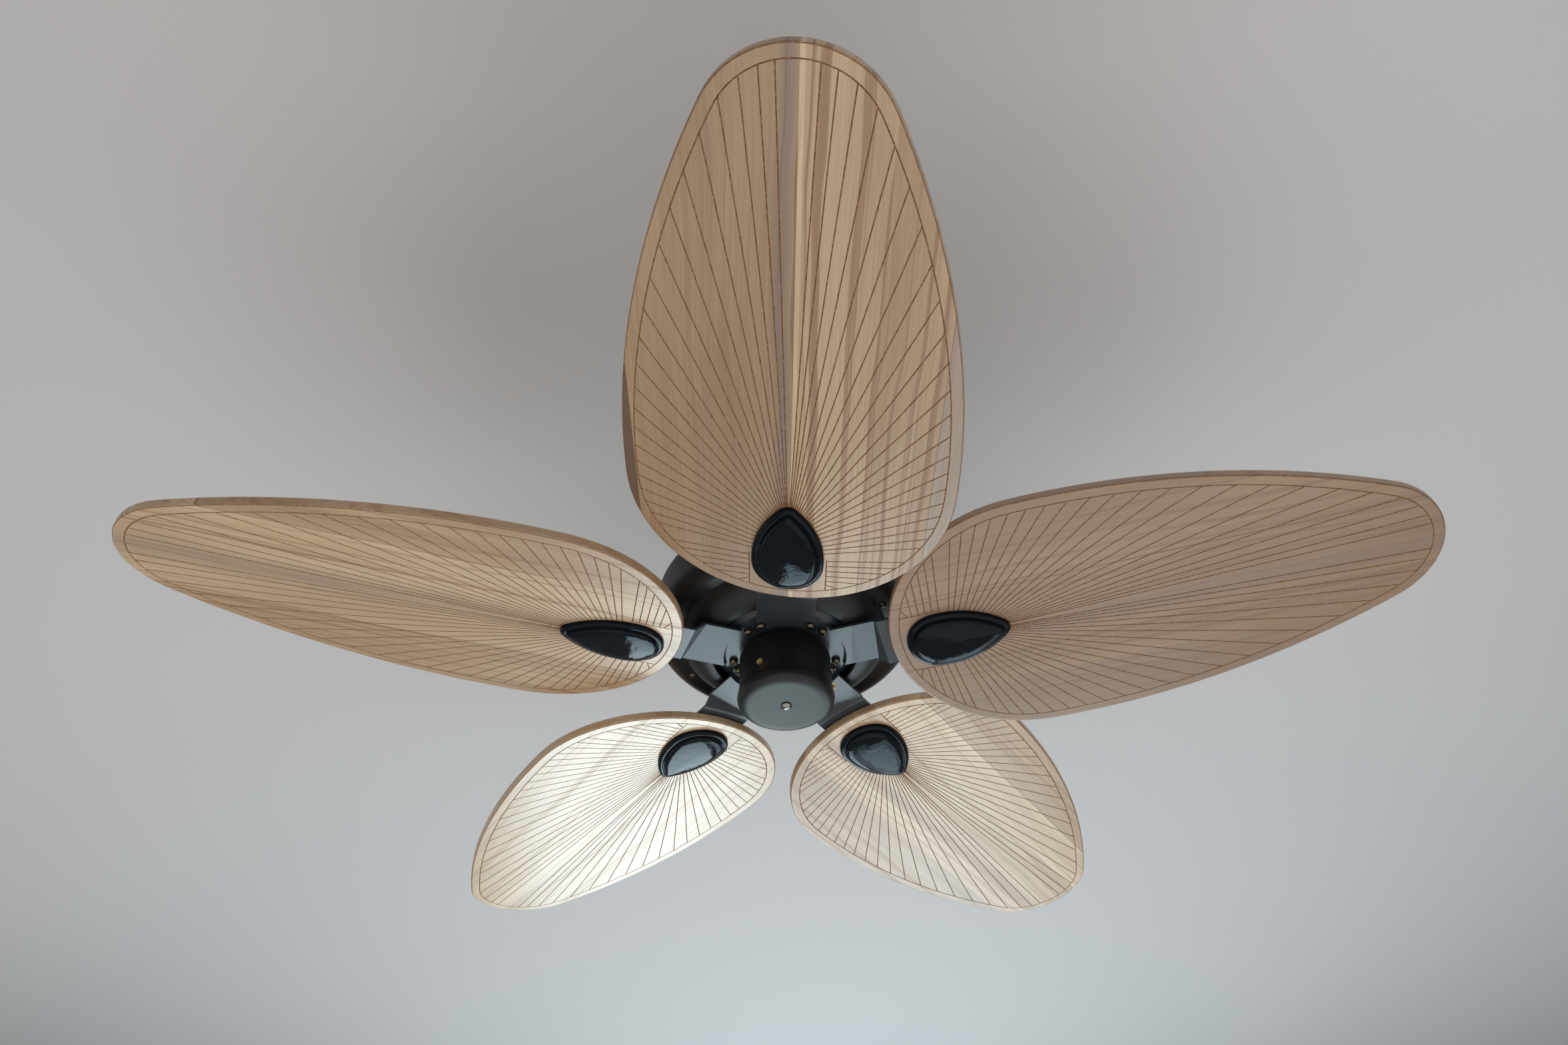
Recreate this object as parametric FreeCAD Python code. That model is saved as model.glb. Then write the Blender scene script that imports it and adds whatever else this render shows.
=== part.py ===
import FreeCAD, Part
import math
import os
from collections import namedtuple
from FreeCAD import Vector

# Ceiling fan with five carved palm-leaf blades, in millimetres.
# The origin is the centre of the ceiling face, +Z is up, and the first blade points to -Y.
# Pieces below the rod are drawn about the blade level, where the blades' lower face meets the axis.

# Fits and clearances
PRESS = 0.05
RUNNING = 0.1
LOOSE = 0.3

# Upright edge under every domed screw head
HEAD_EDGE = 0.9

# Blades
BLADE_COUNT = 5
FIRST_BLADE = -90.0
SWEEP_R = 660.4
BLADE_ROOT = 118.0
BLADE_ROOT_R = 150.0
BLADE_TIP_R = 77.0
BLADE_SIDE_R = 760.0
BLADE_THICKNESS = 9.5
BLADE_EDGE_R = 3.0
BLADE_PITCH = 8.44

# Medallions under the blades
MEDALLION_SETBACK = 16.5
MEDALLION_LENGTH = 107.5
MEDALLION_BASE_R = 34.8
MEDALLION_TIP_R = 10.5
MEDALLION_SIDE_R = 90.0
MEDALLION_FLANGE = 4.6
MEDALLION_FLANGE_EDGE_R = 2.2
MEDALLION_RIM = 7.5
MEDALLION_DOME = 5.6
MEDALLION_DOME_EDGE_R = 2.0
MEDALLION_CROWN_R = 420.0

# Blade screws, from above through iron and blade into the medallion
BLADE_SCREW_R = 2.2
BLADE_SCREW_HEAD_R = 4.4
BLADE_SCREW_HEAD = 2.6
BLADE_SCREW_BITE = 5.2
BLADE_SCREW_BASE = 24.0
BLADE_SCREW_SPREAD = 18.0
BLADE_SCREW_REACH = 54.0
BLADE_WASHER_R = 5.5
BLADE_WASHER = 1.0

# Blade irons
IRON_THICKNESS = 3.0
IRON_WIDTH = 61.0
IRON_SETBACK = 10.0
IRON_LEAST_DROP = 1.9
IRON_RAMP_ANGLE = 45.0
IRON_BEND_R = 2.4
IRON_TONGUE_R = 15.0
IRON_SHOULDER = 8.0
FOOT_INNER_R = 48.0
FOOT_OUTER_R = 64.0
FOOT_HALF_ANGLE = 34.0
JOGGLE = 6.0
JOGGLE_RUN = 2.5
JOGGLE_LAND = 8.0

# Iron screws
IRON_SCREW_R = 2.4
IRON_SCREW_HEAD_R = 4.6
IRON_SCREW_HEAD = 3.4
IRON_SCREW_CIRCLE_R = 56.4
IRON_SCREW_ANGLE = 27.5
IRON_WASHER_R = 5.0
IRON_WASHER = 1.5

# Motor
BEARING_BORE_R = 8.5
BEARING_R = 20.0
BEARING_WIDTH = 12.0
RACE_THICKNESS = 3.0
SHIELD = 1.0
BELL_WALL = 5.0
BELL_LIP = 3.0
BELL_HUB_WALL = 4.0
BELL_SEAT = 8.0
BELL_SKIRT = 4.0
BELL_FLANGE = 6.0
BELL_FLANGE_THICKNESS = 3.0
BELL_SCREW_R = 1.8
BELL_SCREW_HEAD_R = 2.8
BELL_SCREW_HEAD = 2.5
BOSS_MARGIN = 4.0
MOTOR_ROOM = 39.9
STATOR_HEIGHT = 16.0
STATOR_YOKE_SHARE = 0.526
STATOR_TIP = 8.0
STATOR_SLOTS = 12
SLOT_WIDTH = 12.0
SLOT_MOUTH = 3.0
AIR_GAP = 0.5
END_TURN = 10.0
ROTOR_WALL = 15.5
ROTOR_HEIGHT = 20.0
ROTOR_SPACE = 22.0

# Motor shaft
SHAFT_BORE_R = 5.0
SHAFT_COLLAR_R = 11.0
SHAFT_COLLAR_GAP = 0.7
SHAFT_THREAD_R = 7.0
SHAFT_NUT = 5.5
SHAFT_NUT_R = 11.0
SHAFT_END = 4.0

# Motor housing
HOUSING_R = 142.0
HOUSING_WALL = 1.5
OPENING_GAP = 10.8
LIP_GAP = 2.8
LIP_HEIGHT = 5.0
LIP_EDGE_R = 2.0
BULGE_ANGLE = 60.0
SCREW_FLANGE = 10.945
CORNER_R = 17.0
BAND_HEIGHT = 30.0
DOME_R = 26.0
CROWN_SLOPE = 8.0
POST_R = 4.0
POST_COUNT = 4
FIRST_POST = -29.7
HOUSING_SCREW_R = 2.0
HOUSING_SCREW_HEAD_R = 4.0
HOUSING_SCREW_HEAD = 2.4
HOUSING_SCREW_BITE = 12.0
HOUSING_PLATE = 4.0
HOUSING_PLATE_R = 42.0

# Yoke and downrod
ROD_R = 13.35
ROD_WALL = 2.9
ROD_LENGTH = 305.0
YOKE_WALL = 7.6
YOKE_FLOOR = 10.0
YOKE_SOCKET = 34.0
YOKE_FLANGE = 6.0
YOKE_FLANGE_R = 34.0
YOKE_SCREW_R = 2.5
YOKE_SCREW_HEAD_R = 4.2
YOKE_SCREW_HEAD = 3.0
YOKE_SCREW_COUNT = 4
CLEVIS_R = 3.2
CLEVIS_HEAD_R = 5.0
CLEVIS_HEAD = 2.5
CLEVIS_TAIL = 9.0
CLEVIS_HEIGHT = 16.0
HITCH_WIRE_R = 0.9
HITCH_BEND_R = 2.7
HITCH_TOP = 8.0
HITCH_BOTTOM = 9.0
SET_SCREW_R = 2.5
SET_SCREW_HEIGHT = 27.0
SET_SCREW_STAND = 2.0
COVER_R = 47.0
COVER_HEIGHT = 66.0
COVER_NECK = 3.2
COVER_WALL = 1.2

# Hanger ball, bracket and canopy
BALL_R = 28.0
BALL_DROP = 42.0
BALL_TOP = 10.0
BALL_BOTTOM = 21.0
ROD_ABOVE_BALL = 6.0
BALL_PIN_R = 3.0
BALL_PIN_INSET = 5.0
BALL_PIN_DROP = 3.0
BALL_SLOT = 6.0
BALL_SLOT_FLOOR = 17.5
BALL_TAB_GAP = 0.8
BALL_TAB_END = 20.6
BALL_SCREW_R = 2.0
BRACKET_SHEET = 2.5
BRACKET_LENGTH = 118.0
BRACKET_DEPTH = 40.0
BRACKET_LEG_GAP = 65.0
BRACKET_LEG_DEPTH = 36.0
CRADLE_DROP = 13.0
CRADLE_R = 38.0
CRADLE_MOUTH_GAP = 2.0
SLOT_SPACING = 89.0
SLOT_LENGTH = 16.0
SLOT_R = 2.75
TAB_DROP = 20.0
TAB_WIDTH = 20.0
CANOPY_R = 68.0
CANOPY_BAND = 10.0
CANOPY_DEPTH = 62.0
CANOPY_BASE_R = 44.0
CANOPY_HOLE_R = 22.0
CANOPY_WALL = 1.2
CANOPY_SCREW_R = 2.0
CANOPY_SCREW_HEAD_R = 4.0
CANOPY_SCREW_HEAD = 2.6
CANOPY_SCREW_DROP = 12.0
GROUND_SCREW_R = 2.0
GROUND_SCREW_HEAD_R = 4.5
GROUND_SCREW_HEAD = 2.5
GROUND_SCREW_X = 22.0
GROUND_SCREW_Y = 12.0

# Switch housing
CUP_R = 49.0
CUP_WALL = 1.5
CUP_GAP = 6.5
CUP_HEIGHT = 44.8
CUP_EDGE_R = 2.0
CAP_R = 51.2
CAP_HEIGHT = 16.7
CAP_WALL = 2.0
CAP_LIP = 1.1
CAP_LIP_HEIGHT = 1.8
CAP_FLARE = 5.0
CAP_ROUND = 14.0
CAP_SKIRT = 14.0
CAP_SCREW_R = 2.0
CAP_SCREW_HEAD_R = 6.0
CAP_SCREW_HEAD = 3.4
CAP_SCREW_LENGTH = 9.0
CAP_NUT_R = 4.4
CAP_NUT = 3.5
CUP_SCREW_COUNT = 3
FIRST_CUP_SCREW = -122.0
CUP_SCREW_R = 1.8
CUP_SCREW_HEAD_R = 4.0
CUP_SCREW_HEAD = 3.0
CUP_SCREW_RISE = 8.0
CAPACITOR_LENGTH = 22.0
CAPACITOR_WIDTH = 30.0
CAPACITOR_HEIGHT = 27.0
CAPACITOR_X = -26.0
CAPACITOR_EDGE_R = 3.0
SWITCH_WIDTH = 20.0
SWITCH_DEPTH = 9.5
SWITCH_HEIGHT = 16.0
SWITCH_DROP = 10.0
KNOB_WIDTH = 4.0
KNOB_HEIGHT = 5.0
KNOB_TRAVEL = 5.0
KNOB_STAND = 3.0

# Section of the pan round the hub, from its opening to its screw flange
boss_r = FOOT_OUTER_R + BOSS_MARGIN
lip_r = boss_r + OPENING_GAP
crease_r = HOUSING_R - CORNER_R - SCREW_FLANGE
bulge_r = (crease_r - lip_r - LIP_EDGE_R) / math.sin(math.radians(BULGE_ANGLE))

# Levels above the blade level, from the blade upwards
pitch = math.radians(BLADE_PITCH)
half_iron = IRON_WIDTH / 2
arm_level = BLADE_THICKNESS / math.cos(pitch) + half_iron * math.tan(pitch) + IRON_LEAST_DROP
foot_level = arm_level + JOGGLE
motor_bottom = foot_level + IRON_THICKNESS
lower_bearing = motor_bottom + BELL_LIP
rotor_mid = lower_bearing + BEARING_WIDTH + ROTOR_SPACE
upper_bearing = 2 * rotor_mid - lower_bearing - BEARING_WIDTH
cup_top = foot_level - CUP_GAP
seam_level = cup_top - CUP_HEIGHT
cap_bottom = seam_level - CAP_HEIGHT
lip_level = arm_level + IRON_THICKNESS + LIP_GAP
flange_level = lip_level + bulge_r * (1 - math.cos(math.radians(BULGE_ANGLE)))
band_level = flange_level + CORNER_R
dome_level = band_level + BAND_HEIGHT

# Radii that follow from one another
joggle_r = FOOT_OUTER_R + JOGGLE_RUN
joggle_angle = math.atan2(JOGGLE, JOGGLE_RUN)
joggle_shift = IRON_THICKNESS * math.tan(joggle_angle / 2)
post_circle_r = crease_r + SCREW_FLANGE / 2
bell_flange_r = HOUSING_R - MOTOR_ROOM
skirt_r = bell_flange_r - BELL_FLANGE
rotor_r = skirt_r - BELL_SKIRT - RUNNING
rotor_inner_r = rotor_r - ROTOR_WALL
stator_r = rotor_inner_r - AIR_GAP
stator_yoke_r = stator_r * STATOR_YOKE_SHARE
yoke_r = ROD_R + PRESS + YOKE_WALL
yoke_screw_circle_r = (yoke_r + YOKE_FLANGE_R) / 2
crown_r = COVER_R + COVER_NECK
crown_angle = math.radians(90 - CROWN_SLOPE)
shoulder_r = HOUSING_R - DOME_R + DOME_R * math.cos(crown_angle)
shoulder_level = dome_level + DOME_R * math.sin(crown_angle)
housing_top = shoulder_level + (shoulder_r - crown_r) * math.tan(math.radians(CROWN_SLOPE))
cup_inner_r = CUP_R - CUP_WALL

# Heights on the rod, from the ceiling down to the blades
rod_top = ROD_ABOVE_BALL - BALL_DROP
rod_bottom = rod_top - ROD_LENGTH
blade_level = rod_bottom - YOKE_FLOOR - housing_top
clevis_level = housing_top + YOKE_FLOOR + CLEVIS_HEIGHT

# Places along one blade, from the axis outwards
medallion_root = BLADE_ROOT + MEDALLION_SETBACK
ramp_end = BLADE_ROOT - IRON_SETBACK
blade_screw_places = [
    (medallion_root + BLADE_SCREW_BASE, -BLADE_SCREW_SPREAD),
    (medallion_root + BLADE_SCREW_BASE, BLADE_SCREW_SPREAD),
    (medallion_root + BLADE_SCREW_BASE + BLADE_SCREW_REACH, 0.0),
]

X_AXIS = Vector(1, 0, 0)
Z_AXIS = Vector(0, 0, 1)

# Where the seam of a turned piece lies, clear of every hole
SEAM_TURN = 20.0


# Drawing helpers

# Steps of a wire: an arc through a middle point, and a curve tangent to both legs of a corner
Arc = namedtuple("Arc", "middle end")
Bend = namedtuple("Bend", "corner end")


def wire(start, *steps):
    """Wire in the XZ plane, where a step is a plain end point, an Arc or a Bend."""
    edges = []
    here = Vector(start[0], 0, start[1])
    for step in steps:
        points = step if isinstance(step, (Arc, Bend)) else [step]
        points = [Vector(x, 0, z) for x, z in points]
        if isinstance(step, Arc):
            edges.append(Part.Arc(here, *points).toShape())
        elif isinstance(step, Bend):
            curve = Part.BezierCurve()
            curve.setPoles([here, *points])
            edges.append(curve.toShape())
        else:
            edges.append(Part.makeLine(here, *points))
        here = points[-1]
    return Part.Wire(edges)


def polar(centre, radius, angle):
    """Point at an angle in degrees on a circle."""
    turn = math.radians(angle)
    return (centre[0] + radius * math.cos(turn), centre[1] + radius * math.sin(turn))


def arc(centre, radius, start, end):
    """Arc step for a wire, from one angle to another in degrees."""
    return Arc(polar(centre, radius, (start + end) / 2), polar(centre, radius, end))


def spin(start, *steps):
    """Solid of revolution about Z of a closed outline."""
    outline = wire(start, *steps, start)
    return turned(Part.Face(outline).revolve(Vector(), Z_AXIS, 360), SEAM_TURN)


def sheet(outline, wall):
    """Solid of revolution of a sheet whose one face follows an open outline."""
    band = outline.makeOffset2D(wall, join=2, fill=True, openResult=True)
    return turned(band.revolve(Vector(), Z_AXIS, 360), SEAM_TURN)


def rod(radius, bottom, top, x=0.0, y=0.0):
    """Upright cylinder between two levels."""
    return Part.makeCylinder(radius, top - bottom, Vector(x, y, bottom))


def bar(radius, start, end):
    """Cylinder between two points."""
    return Part.makeCylinder(radius, (end - start).Length, start, end - start)


def box(x0, x1, y0, y1, z0, z1):
    """Block between two corners."""
    return Part.makeBox(x1 - x0, y1 - y0, z1 - z0, Vector(x0, y0, z0))


def hexagon(radius, bottom, top):
    """Upright hexagonal prism."""
    corners = [Vector(*polar((0, 0), radius, 60 * i), bottom) for i in range(7)]
    return Part.Face(Part.makePolygon(corners)).extrude(Vector(0, 0, top - bottom))


def pan_head(radius, height, level):
    """Domed screw head that hangs below a level."""
    crown = height - HEAD_EDGE
    dome_r = (radius ** 2 + crown ** 2) / (2 * crown)
    centre = (0, level - height + dome_r)
    start = math.degrees(math.asin(radius / dome_r)) - 90
    return spin((0, level), (radius, level), (radius, level - HEAD_EDGE), arc(centre, dome_r, start, -90))


def turned(shape, angle):
    """Copy of a shape, turned about the fan's axis."""
    copy = shape.copy()
    copy.rotate(Vector(), Z_AXIS, angle)
    return copy


def ring_of(shape, count, first):
    """Copies of a shape spread evenly about the fan's axis."""
    return [turned(shape, first + i * 360 / count) for i in range(count)]


def tilted(shape):
    """Copy of a shape drawn on a level blade, at the blade's pitch."""
    copy = shape.copy()
    copy.rotate(Vector(), X_AXIS, -BLADE_PITCH)
    return copy


def export(name, shape, at=0.0):
    """Writes one piece, lifted to its level."""
    piece = shape.copy()
    piece.translate(Vector(0, 0, at))
    piece.exportStep("parts/" + name + ".step")


def leaf(root, length, root_r, tip_r, side_r, inset=0.0):
    """Face of a leaf along X: a round root and a round tip joined by two side arcs tangent to both."""
    near = root + root_r
    far = root + length - tip_r
    r0 = root_r - inset
    r1 = tip_r - inset
    r2 = side_r - inset
    span = far - near
    x = ((r2 - r0) ** 2 - (r2 - r1) ** 2 + span ** 2) / (2 * span)
    y = math.sqrt((r2 - r0) ** 2 - x ** 2)
    low = math.degrees(math.atan2(y, -x))
    high = math.degrees(math.atan2(y, span - x))
    start = polar((near, 0), r0, low)
    shoulder = polar((far, 0), r1, high)
    below = (shoulder[0], -shoulder[1])
    side = polar((near + x, -y), r2, (low + high) / 2)
    points = [start, side, shoulder, (far + r1, 0), below, (side[0], -side[1]), (start[0], -start[1])]
    places = [Vector(px, py, 0) for px, py in points]
    arcs = [Part.Arc(places[0], places[1], places[2]), Part.Arc(places[2], places[3], places[4]),
            Part.Arc(places[4], places[5], places[6]),
            Part.Arc(places[6], Vector(near - r0, 0, 0), places[0])]
    return Part.Face(Part.Wire([each.toShape() for each in arcs]))


# Ceiling mount

def hanger_bracket():
    """Ceiling strap with slots and end tabs, two legs, and the open cradle that the ball sits in."""
    half = BRACKET_LENGTH / 2
    depth = BRACKET_DEPTH / 2
    leg = BRACKET_LEG_GAP / 2
    leg_depth = BRACKET_LEG_DEPTH / 2
    cradle = -BALL_DROP - CRADLE_DROP
    strap = box(-half, half, -depth, depth, -BRACKET_SHEET, 0)
    for side in (-1, 1):
        edge = side * SLOT_SPACING / 2
        run = SLOT_LENGTH / 2 - SLOT_R
        slot = box(edge - run, edge + run, -SLOT_R, SLOT_R, -BRACKET_SHEET, 0)
        ends = [rod(SLOT_R, -BRACKET_SHEET, 0, edge + sign * run) for sign in (-1, 1)]
        strap = strap.cut(slot.multiFuse(ends))
    pieces = []
    for side in (-1, 1):
        inner = min(side * leg, side * (leg + BRACKET_SHEET))
        pieces.append(box(inner, inner + BRACKET_SHEET, -leg_depth, leg_depth, cradle - BRACKET_SHEET, 0))
        tab = min(side * half, side * (half - BRACKET_SHEET))
        tab_box = box(tab, tab + BRACKET_SHEET, -TAB_WIDTH / 2, TAB_WIDTH / 2, -BRACKET_SHEET - TAB_DROP, 0)
        hole = bar(CANOPY_SCREW_R + PRESS, Vector(0, 0, -CANOPY_SCREW_DROP),
                   Vector(side * half, 0, -CANOPY_SCREW_DROP))
        pieces.append(tab_box.cut(hole))
    reach = leg + BRACKET_SHEET
    seat = box(-reach, reach, -CRADLE_R, CRADLE_R, cradle - BRACKET_SHEET, cradle)
    seat = seat.common(rod(CRADLE_R, cradle - BRACKET_SHEET, cradle))
    seat = seat.cut(Part.makeSphere(BALL_R + LOOSE, Vector(0, 0, -BALL_DROP)))
    mouth = ROD_R + CRADLE_MOUTH_GAP
    seat = seat.cut(box(-mouth, mouth, -CRADLE_R, 0, cradle - BRACKET_SHEET, cradle))
    key = BALL_SLOT / 2 - BALL_TAB_GAP
    seat = seat.fuse(box(-key, key, BALL_TAB_END, CRADLE_R - BRACKET_SHEET, cradle - BRACKET_SHEET, cradle))
    bracket = strap.multiFuse(pieces + [seat])
    screw = rod(GROUND_SCREW_R + PRESS, -BRACKET_SHEET, 0, -GROUND_SCREW_X, GROUND_SCREW_Y)
    return bracket.cut(screw).removeSplitter()


def ground_screw():
    """Earth screw under the strap."""
    screw = rod(GROUND_SCREW_R, -BRACKET_SHEET, -LOOSE).fuse(
        rod(GROUND_SCREW_HEAD_R, -BRACKET_SHEET - GROUND_SCREW_HEAD, -BRACKET_SHEET))
    screw.translate(Vector(-GROUND_SCREW_X, GROUND_SCREW_Y, 0))
    return screw


def canopy():
    """Spun bell that hides the bracket, with the hole that the rod swings in."""
    inner = CANOPY_R - CANOPY_WALL
    floor = CANOPY_WALL - CANOPY_DEPTH
    shell = spin((CANOPY_R, 0), (CANOPY_R, -CANOPY_BAND),
                 Bend((CANOPY_R, -CANOPY_DEPTH), (CANOPY_BASE_R, -CANOPY_DEPTH)),
                 (CANOPY_HOLE_R, -CANOPY_DEPTH), (CANOPY_HOLE_R, floor), (CANOPY_BASE_R, floor),
                 Bend((inner, floor), (inner, -CANOPY_BAND)), (inner, 0))
    for side in (-1, 1):
        hole = bar(CANOPY_SCREW_R + LOOSE, Vector(0, 0, -CANOPY_SCREW_DROP),
                   Vector(side * (CANOPY_R + CANOPY_WALL), 0, -CANOPY_SCREW_DROP))
        shell = shell.cut(hole)
    return shell


def canopy_screws():
    """Two screws from the canopy's sides into the bracket's tabs."""
    start = Vector(BRACKET_LENGTH / 2 - BRACKET_SHEET, 0, -CANOPY_SCREW_DROP)
    seat = Vector(CANOPY_R + LOOSE, 0, -CANOPY_SCREW_DROP)
    end = seat + Vector(CANOPY_SCREW_HEAD, 0, 0)
    screw = bar(CANOPY_SCREW_R, start, seat).fuse(bar(CANOPY_SCREW_HEAD_R, seat, end))
    return Part.makeCompound(ring_of(screw, 2, 0))


# Rod and yoke

def hanger_ball():
    """Split-top ball with the rod's bore, its cross pin hole and the slot that stops it turning."""
    ball = Part.makeSphere(BALL_R, Vector())
    ball = ball.common(rod(BALL_R, -BALL_BOTTOM, BALL_TOP))
    ball = ball.cut(rod(ROD_R + PRESS, -BALL_BOTTOM, BALL_TOP))
    ball = ball.cut(bar(BALL_PIN_R + PRESS, Vector(-BALL_R, 0, -BALL_PIN_DROP),
                        Vector(BALL_R, 0, -BALL_PIN_DROP)))
    ball = ball.cut(box(-BALL_SLOT / 2, BALL_SLOT / 2, BALL_SLOT_FLOOR, BALL_R, -BALL_R, BALL_R))
    return ball.cut(bar(BALL_SCREW_R + PRESS, Vector(0, -BALL_R, BALL_PIN_DROP), Vector(0, 0, BALL_PIN_DROP)))


def ball_pin():
    """Cross pin through ball and rod."""
    reach = BALL_R - BALL_PIN_INSET
    return bar(BALL_PIN_R, Vector(-reach, 0, -BALL_PIN_DROP), Vector(reach, 0, -BALL_PIN_DROP))


def ball_set_screw():
    """Grub screw that takes the play out of the ball."""
    return bar(BALL_SCREW_R, Vector(0, BALL_PIN_INSET - BALL_R, BALL_PIN_DROP),
               Vector(0, -ROD_R - PRESS, BALL_PIN_DROP))


def downrod():
    """Steel tube with a pin hole near each end."""
    tube = rod(ROD_R, rod_bottom, rod_top).cut(rod(ROD_R - ROD_WALL, rod_bottom, rod_top))
    top_pin = -BALL_DROP - BALL_PIN_DROP
    low_pin = rod_bottom + CLEVIS_HEIGHT
    for radius, level in ((BALL_PIN_R, top_pin), (CLEVIS_R, low_pin)):
        tube = tube.cut(bar(radius + PRESS, Vector(-ROD_R, 0, level), Vector(ROD_R, 0, level)))
    return tube


def motor_yoke():
    """Cast collar that joins rod and motor shaft, with its flange on the housing."""
    base = housing_top
    top = base + YOKE_FLOOR + YOKE_SOCKET
    yoke = rod(YOKE_FLANGE_R, base, base + YOKE_FLANGE).fuse(rod(yoke_r, base, top))
    yoke = yoke.cut(rod(ROD_R + PRESS, base + YOKE_FLOOR, top))
    yoke = yoke.cut(rod(BEARING_BORE_R + PRESS, base, base + YOKE_FLOOR))
    yoke = yoke.cut(bar(CLEVIS_R + PRESS, Vector(-yoke_r, 0, clevis_level), Vector(yoke_r, 0, clevis_level)))
    set_level = base + YOKE_FLOOR + SET_SCREW_HEIGHT
    yoke = yoke.cut(bar(SET_SCREW_R + PRESS, Vector(0, -yoke_r, set_level), Vector(0, yoke_r, set_level)))
    hole = rod(YOKE_SCREW_R + PRESS, base, base + YOKE_FLANGE, yoke_screw_circle_r)
    return yoke.cut(Part.makeCompound(ring_of(hole, YOKE_SCREW_COUNT, 180 / YOKE_SCREW_COUNT)))


def clevis_pin():
    """Headed pin through yoke and rod, drilled for the hitch pin."""
    head = -yoke_r - LOOSE
    tail = yoke_r + CLEVIS_TAIL
    pin = bar(CLEVIS_R, Vector(head, 0, clevis_level), Vector(tail, 0, clevis_level))
    pin = pin.fuse(bar(CLEVIS_HEAD_R, Vector(head - CLEVIS_HEAD, 0, clevis_level),
                       Vector(head, 0, clevis_level)))
    x = yoke_r + CLEVIS_TAIL / 2
    return pin.cut(rod(HITCH_WIRE_R + PRESS, clevis_level - CLEVIS_R, clevis_level + CLEVIS_R, x))


def hitch_pin():
    """Hairpin of spring wire through the clevis pin's tail."""
    x = yoke_r + CLEVIS_TAIL / 2
    leg = CLEVIS_R + HITCH_BEND_R
    bottom = Vector(x, 0, clevis_level - HITCH_BOTTOM)
    top = Vector(x, 0, clevis_level + HITCH_TOP)
    crown = Vector(x, leg / 2, clevis_level + HITCH_TOP + leg / 2)
    over = Vector(x, leg, clevis_level + HITCH_TOP)
    end = Vector(x, leg, clevis_level - CLEVIS_R)
    bend = Part.Arc(top, crown, over).toShape()
    path = Part.Wire([Part.makeLine(bottom, top), bend, Part.makeLine(over, end)])
    section = Part.Wire(Part.makeCircle(HITCH_WIRE_R, bottom, Z_AXIS))
    return path.makePipeShell([section], True, True)


def yoke_set_screws():
    """Two set screws through the collar onto the rod."""
    level = housing_top + YOKE_FLOOR + SET_SCREW_HEIGHT
    screw = bar(SET_SCREW_R, Vector(0, ROD_R + PRESS, level), Vector(0, yoke_r + SET_SCREW_STAND, level))
    return Part.makeCompound(ring_of(screw, 2, 0))


def coupling_cover():
    """Spun cover over the yoke, resting on the housing."""
    top = housing_top + COVER_HEIGHT
    ceiling = top - COVER_WALL
    hole = ROD_R + LOOSE
    inner = COVER_R - COVER_WALL
    return spin((COVER_R, housing_top), Bend((COVER_R, top), (hole, top)), (hole, ceiling),
                Bend((inner, ceiling), (inner, housing_top)))


# Motor housing

def upper_housing():
    """Domed shell with a straight band, and the posts that the lower housing is screwed to."""
    centre = (HOUSING_R - DOME_R, dome_level)
    outer = [(HOUSING_R, dome_level), arc(centre, DOME_R, 0, 90 - CROWN_SLOPE), (crown_r, housing_top)]
    hole = BEARING_BORE_R + LOOSE
    shell = sheet(wire((HOUSING_R, band_level), *outer, (hole, housing_top)), HOUSING_WALL)
    filled = spin((0, band_level), (HOUSING_R, band_level), *outer, (0, housing_top))
    base = flange_level + HOUSING_WALL
    post = rod(POST_R, base, housing_top, post_circle_r)
    above = post.common(filled)
    below = rod(POST_R, base, band_level, post_circle_r)
    thread = rod(HOUSING_SCREW_R + PRESS, base, base + HOUSING_SCREW_BITE, post_circle_r)
    post = above.fuse(below).removeSplitter().cut(thread)
    shell = shell.multiFuse(ring_of(post, POST_COUNT, FIRST_POST))
    screw = rod(YOKE_SCREW_R + PRESS, housing_top - HOUSING_WALL, housing_top, yoke_screw_circle_r)
    return shell.cut(Part.makeCompound(ring_of(screw, YOKE_SCREW_COUNT, 180 / YOKE_SCREW_COUNT)))


def housing_plate():
    """Thick washer inside the housing's top that the yoke's screws pull on."""
    top = housing_top - HOUSING_WALL
    base = top - HOUSING_PLATE
    plate = rod(HOUSING_PLATE_R, base, top).cut(rod(BEARING_BORE_R + PRESS, base, top))
    hole = rod(YOKE_SCREW_R + PRESS, base, top, yoke_screw_circle_r)
    return plate.cut(Part.makeCompound(ring_of(hole, YOKE_SCREW_COUNT, 180 / YOKE_SCREW_COUNT)))


def housing_plate_screws():
    """Screws from the yoke's flange through the housing's top into the plate."""
    top = housing_top + YOKE_FLANGE
    base = housing_top - HOUSING_WALL - HOUSING_PLATE
    screw = rod(YOKE_SCREW_R, base, top, yoke_screw_circle_r).fuse(
        rod(YOKE_SCREW_HEAD_R, top, top + YOKE_SCREW_HEAD, yoke_screw_circle_r))
    return Part.makeCompound(ring_of(screw, YOKE_SCREW_COUNT, 180 / YOKE_SCREW_COUNT))


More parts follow.
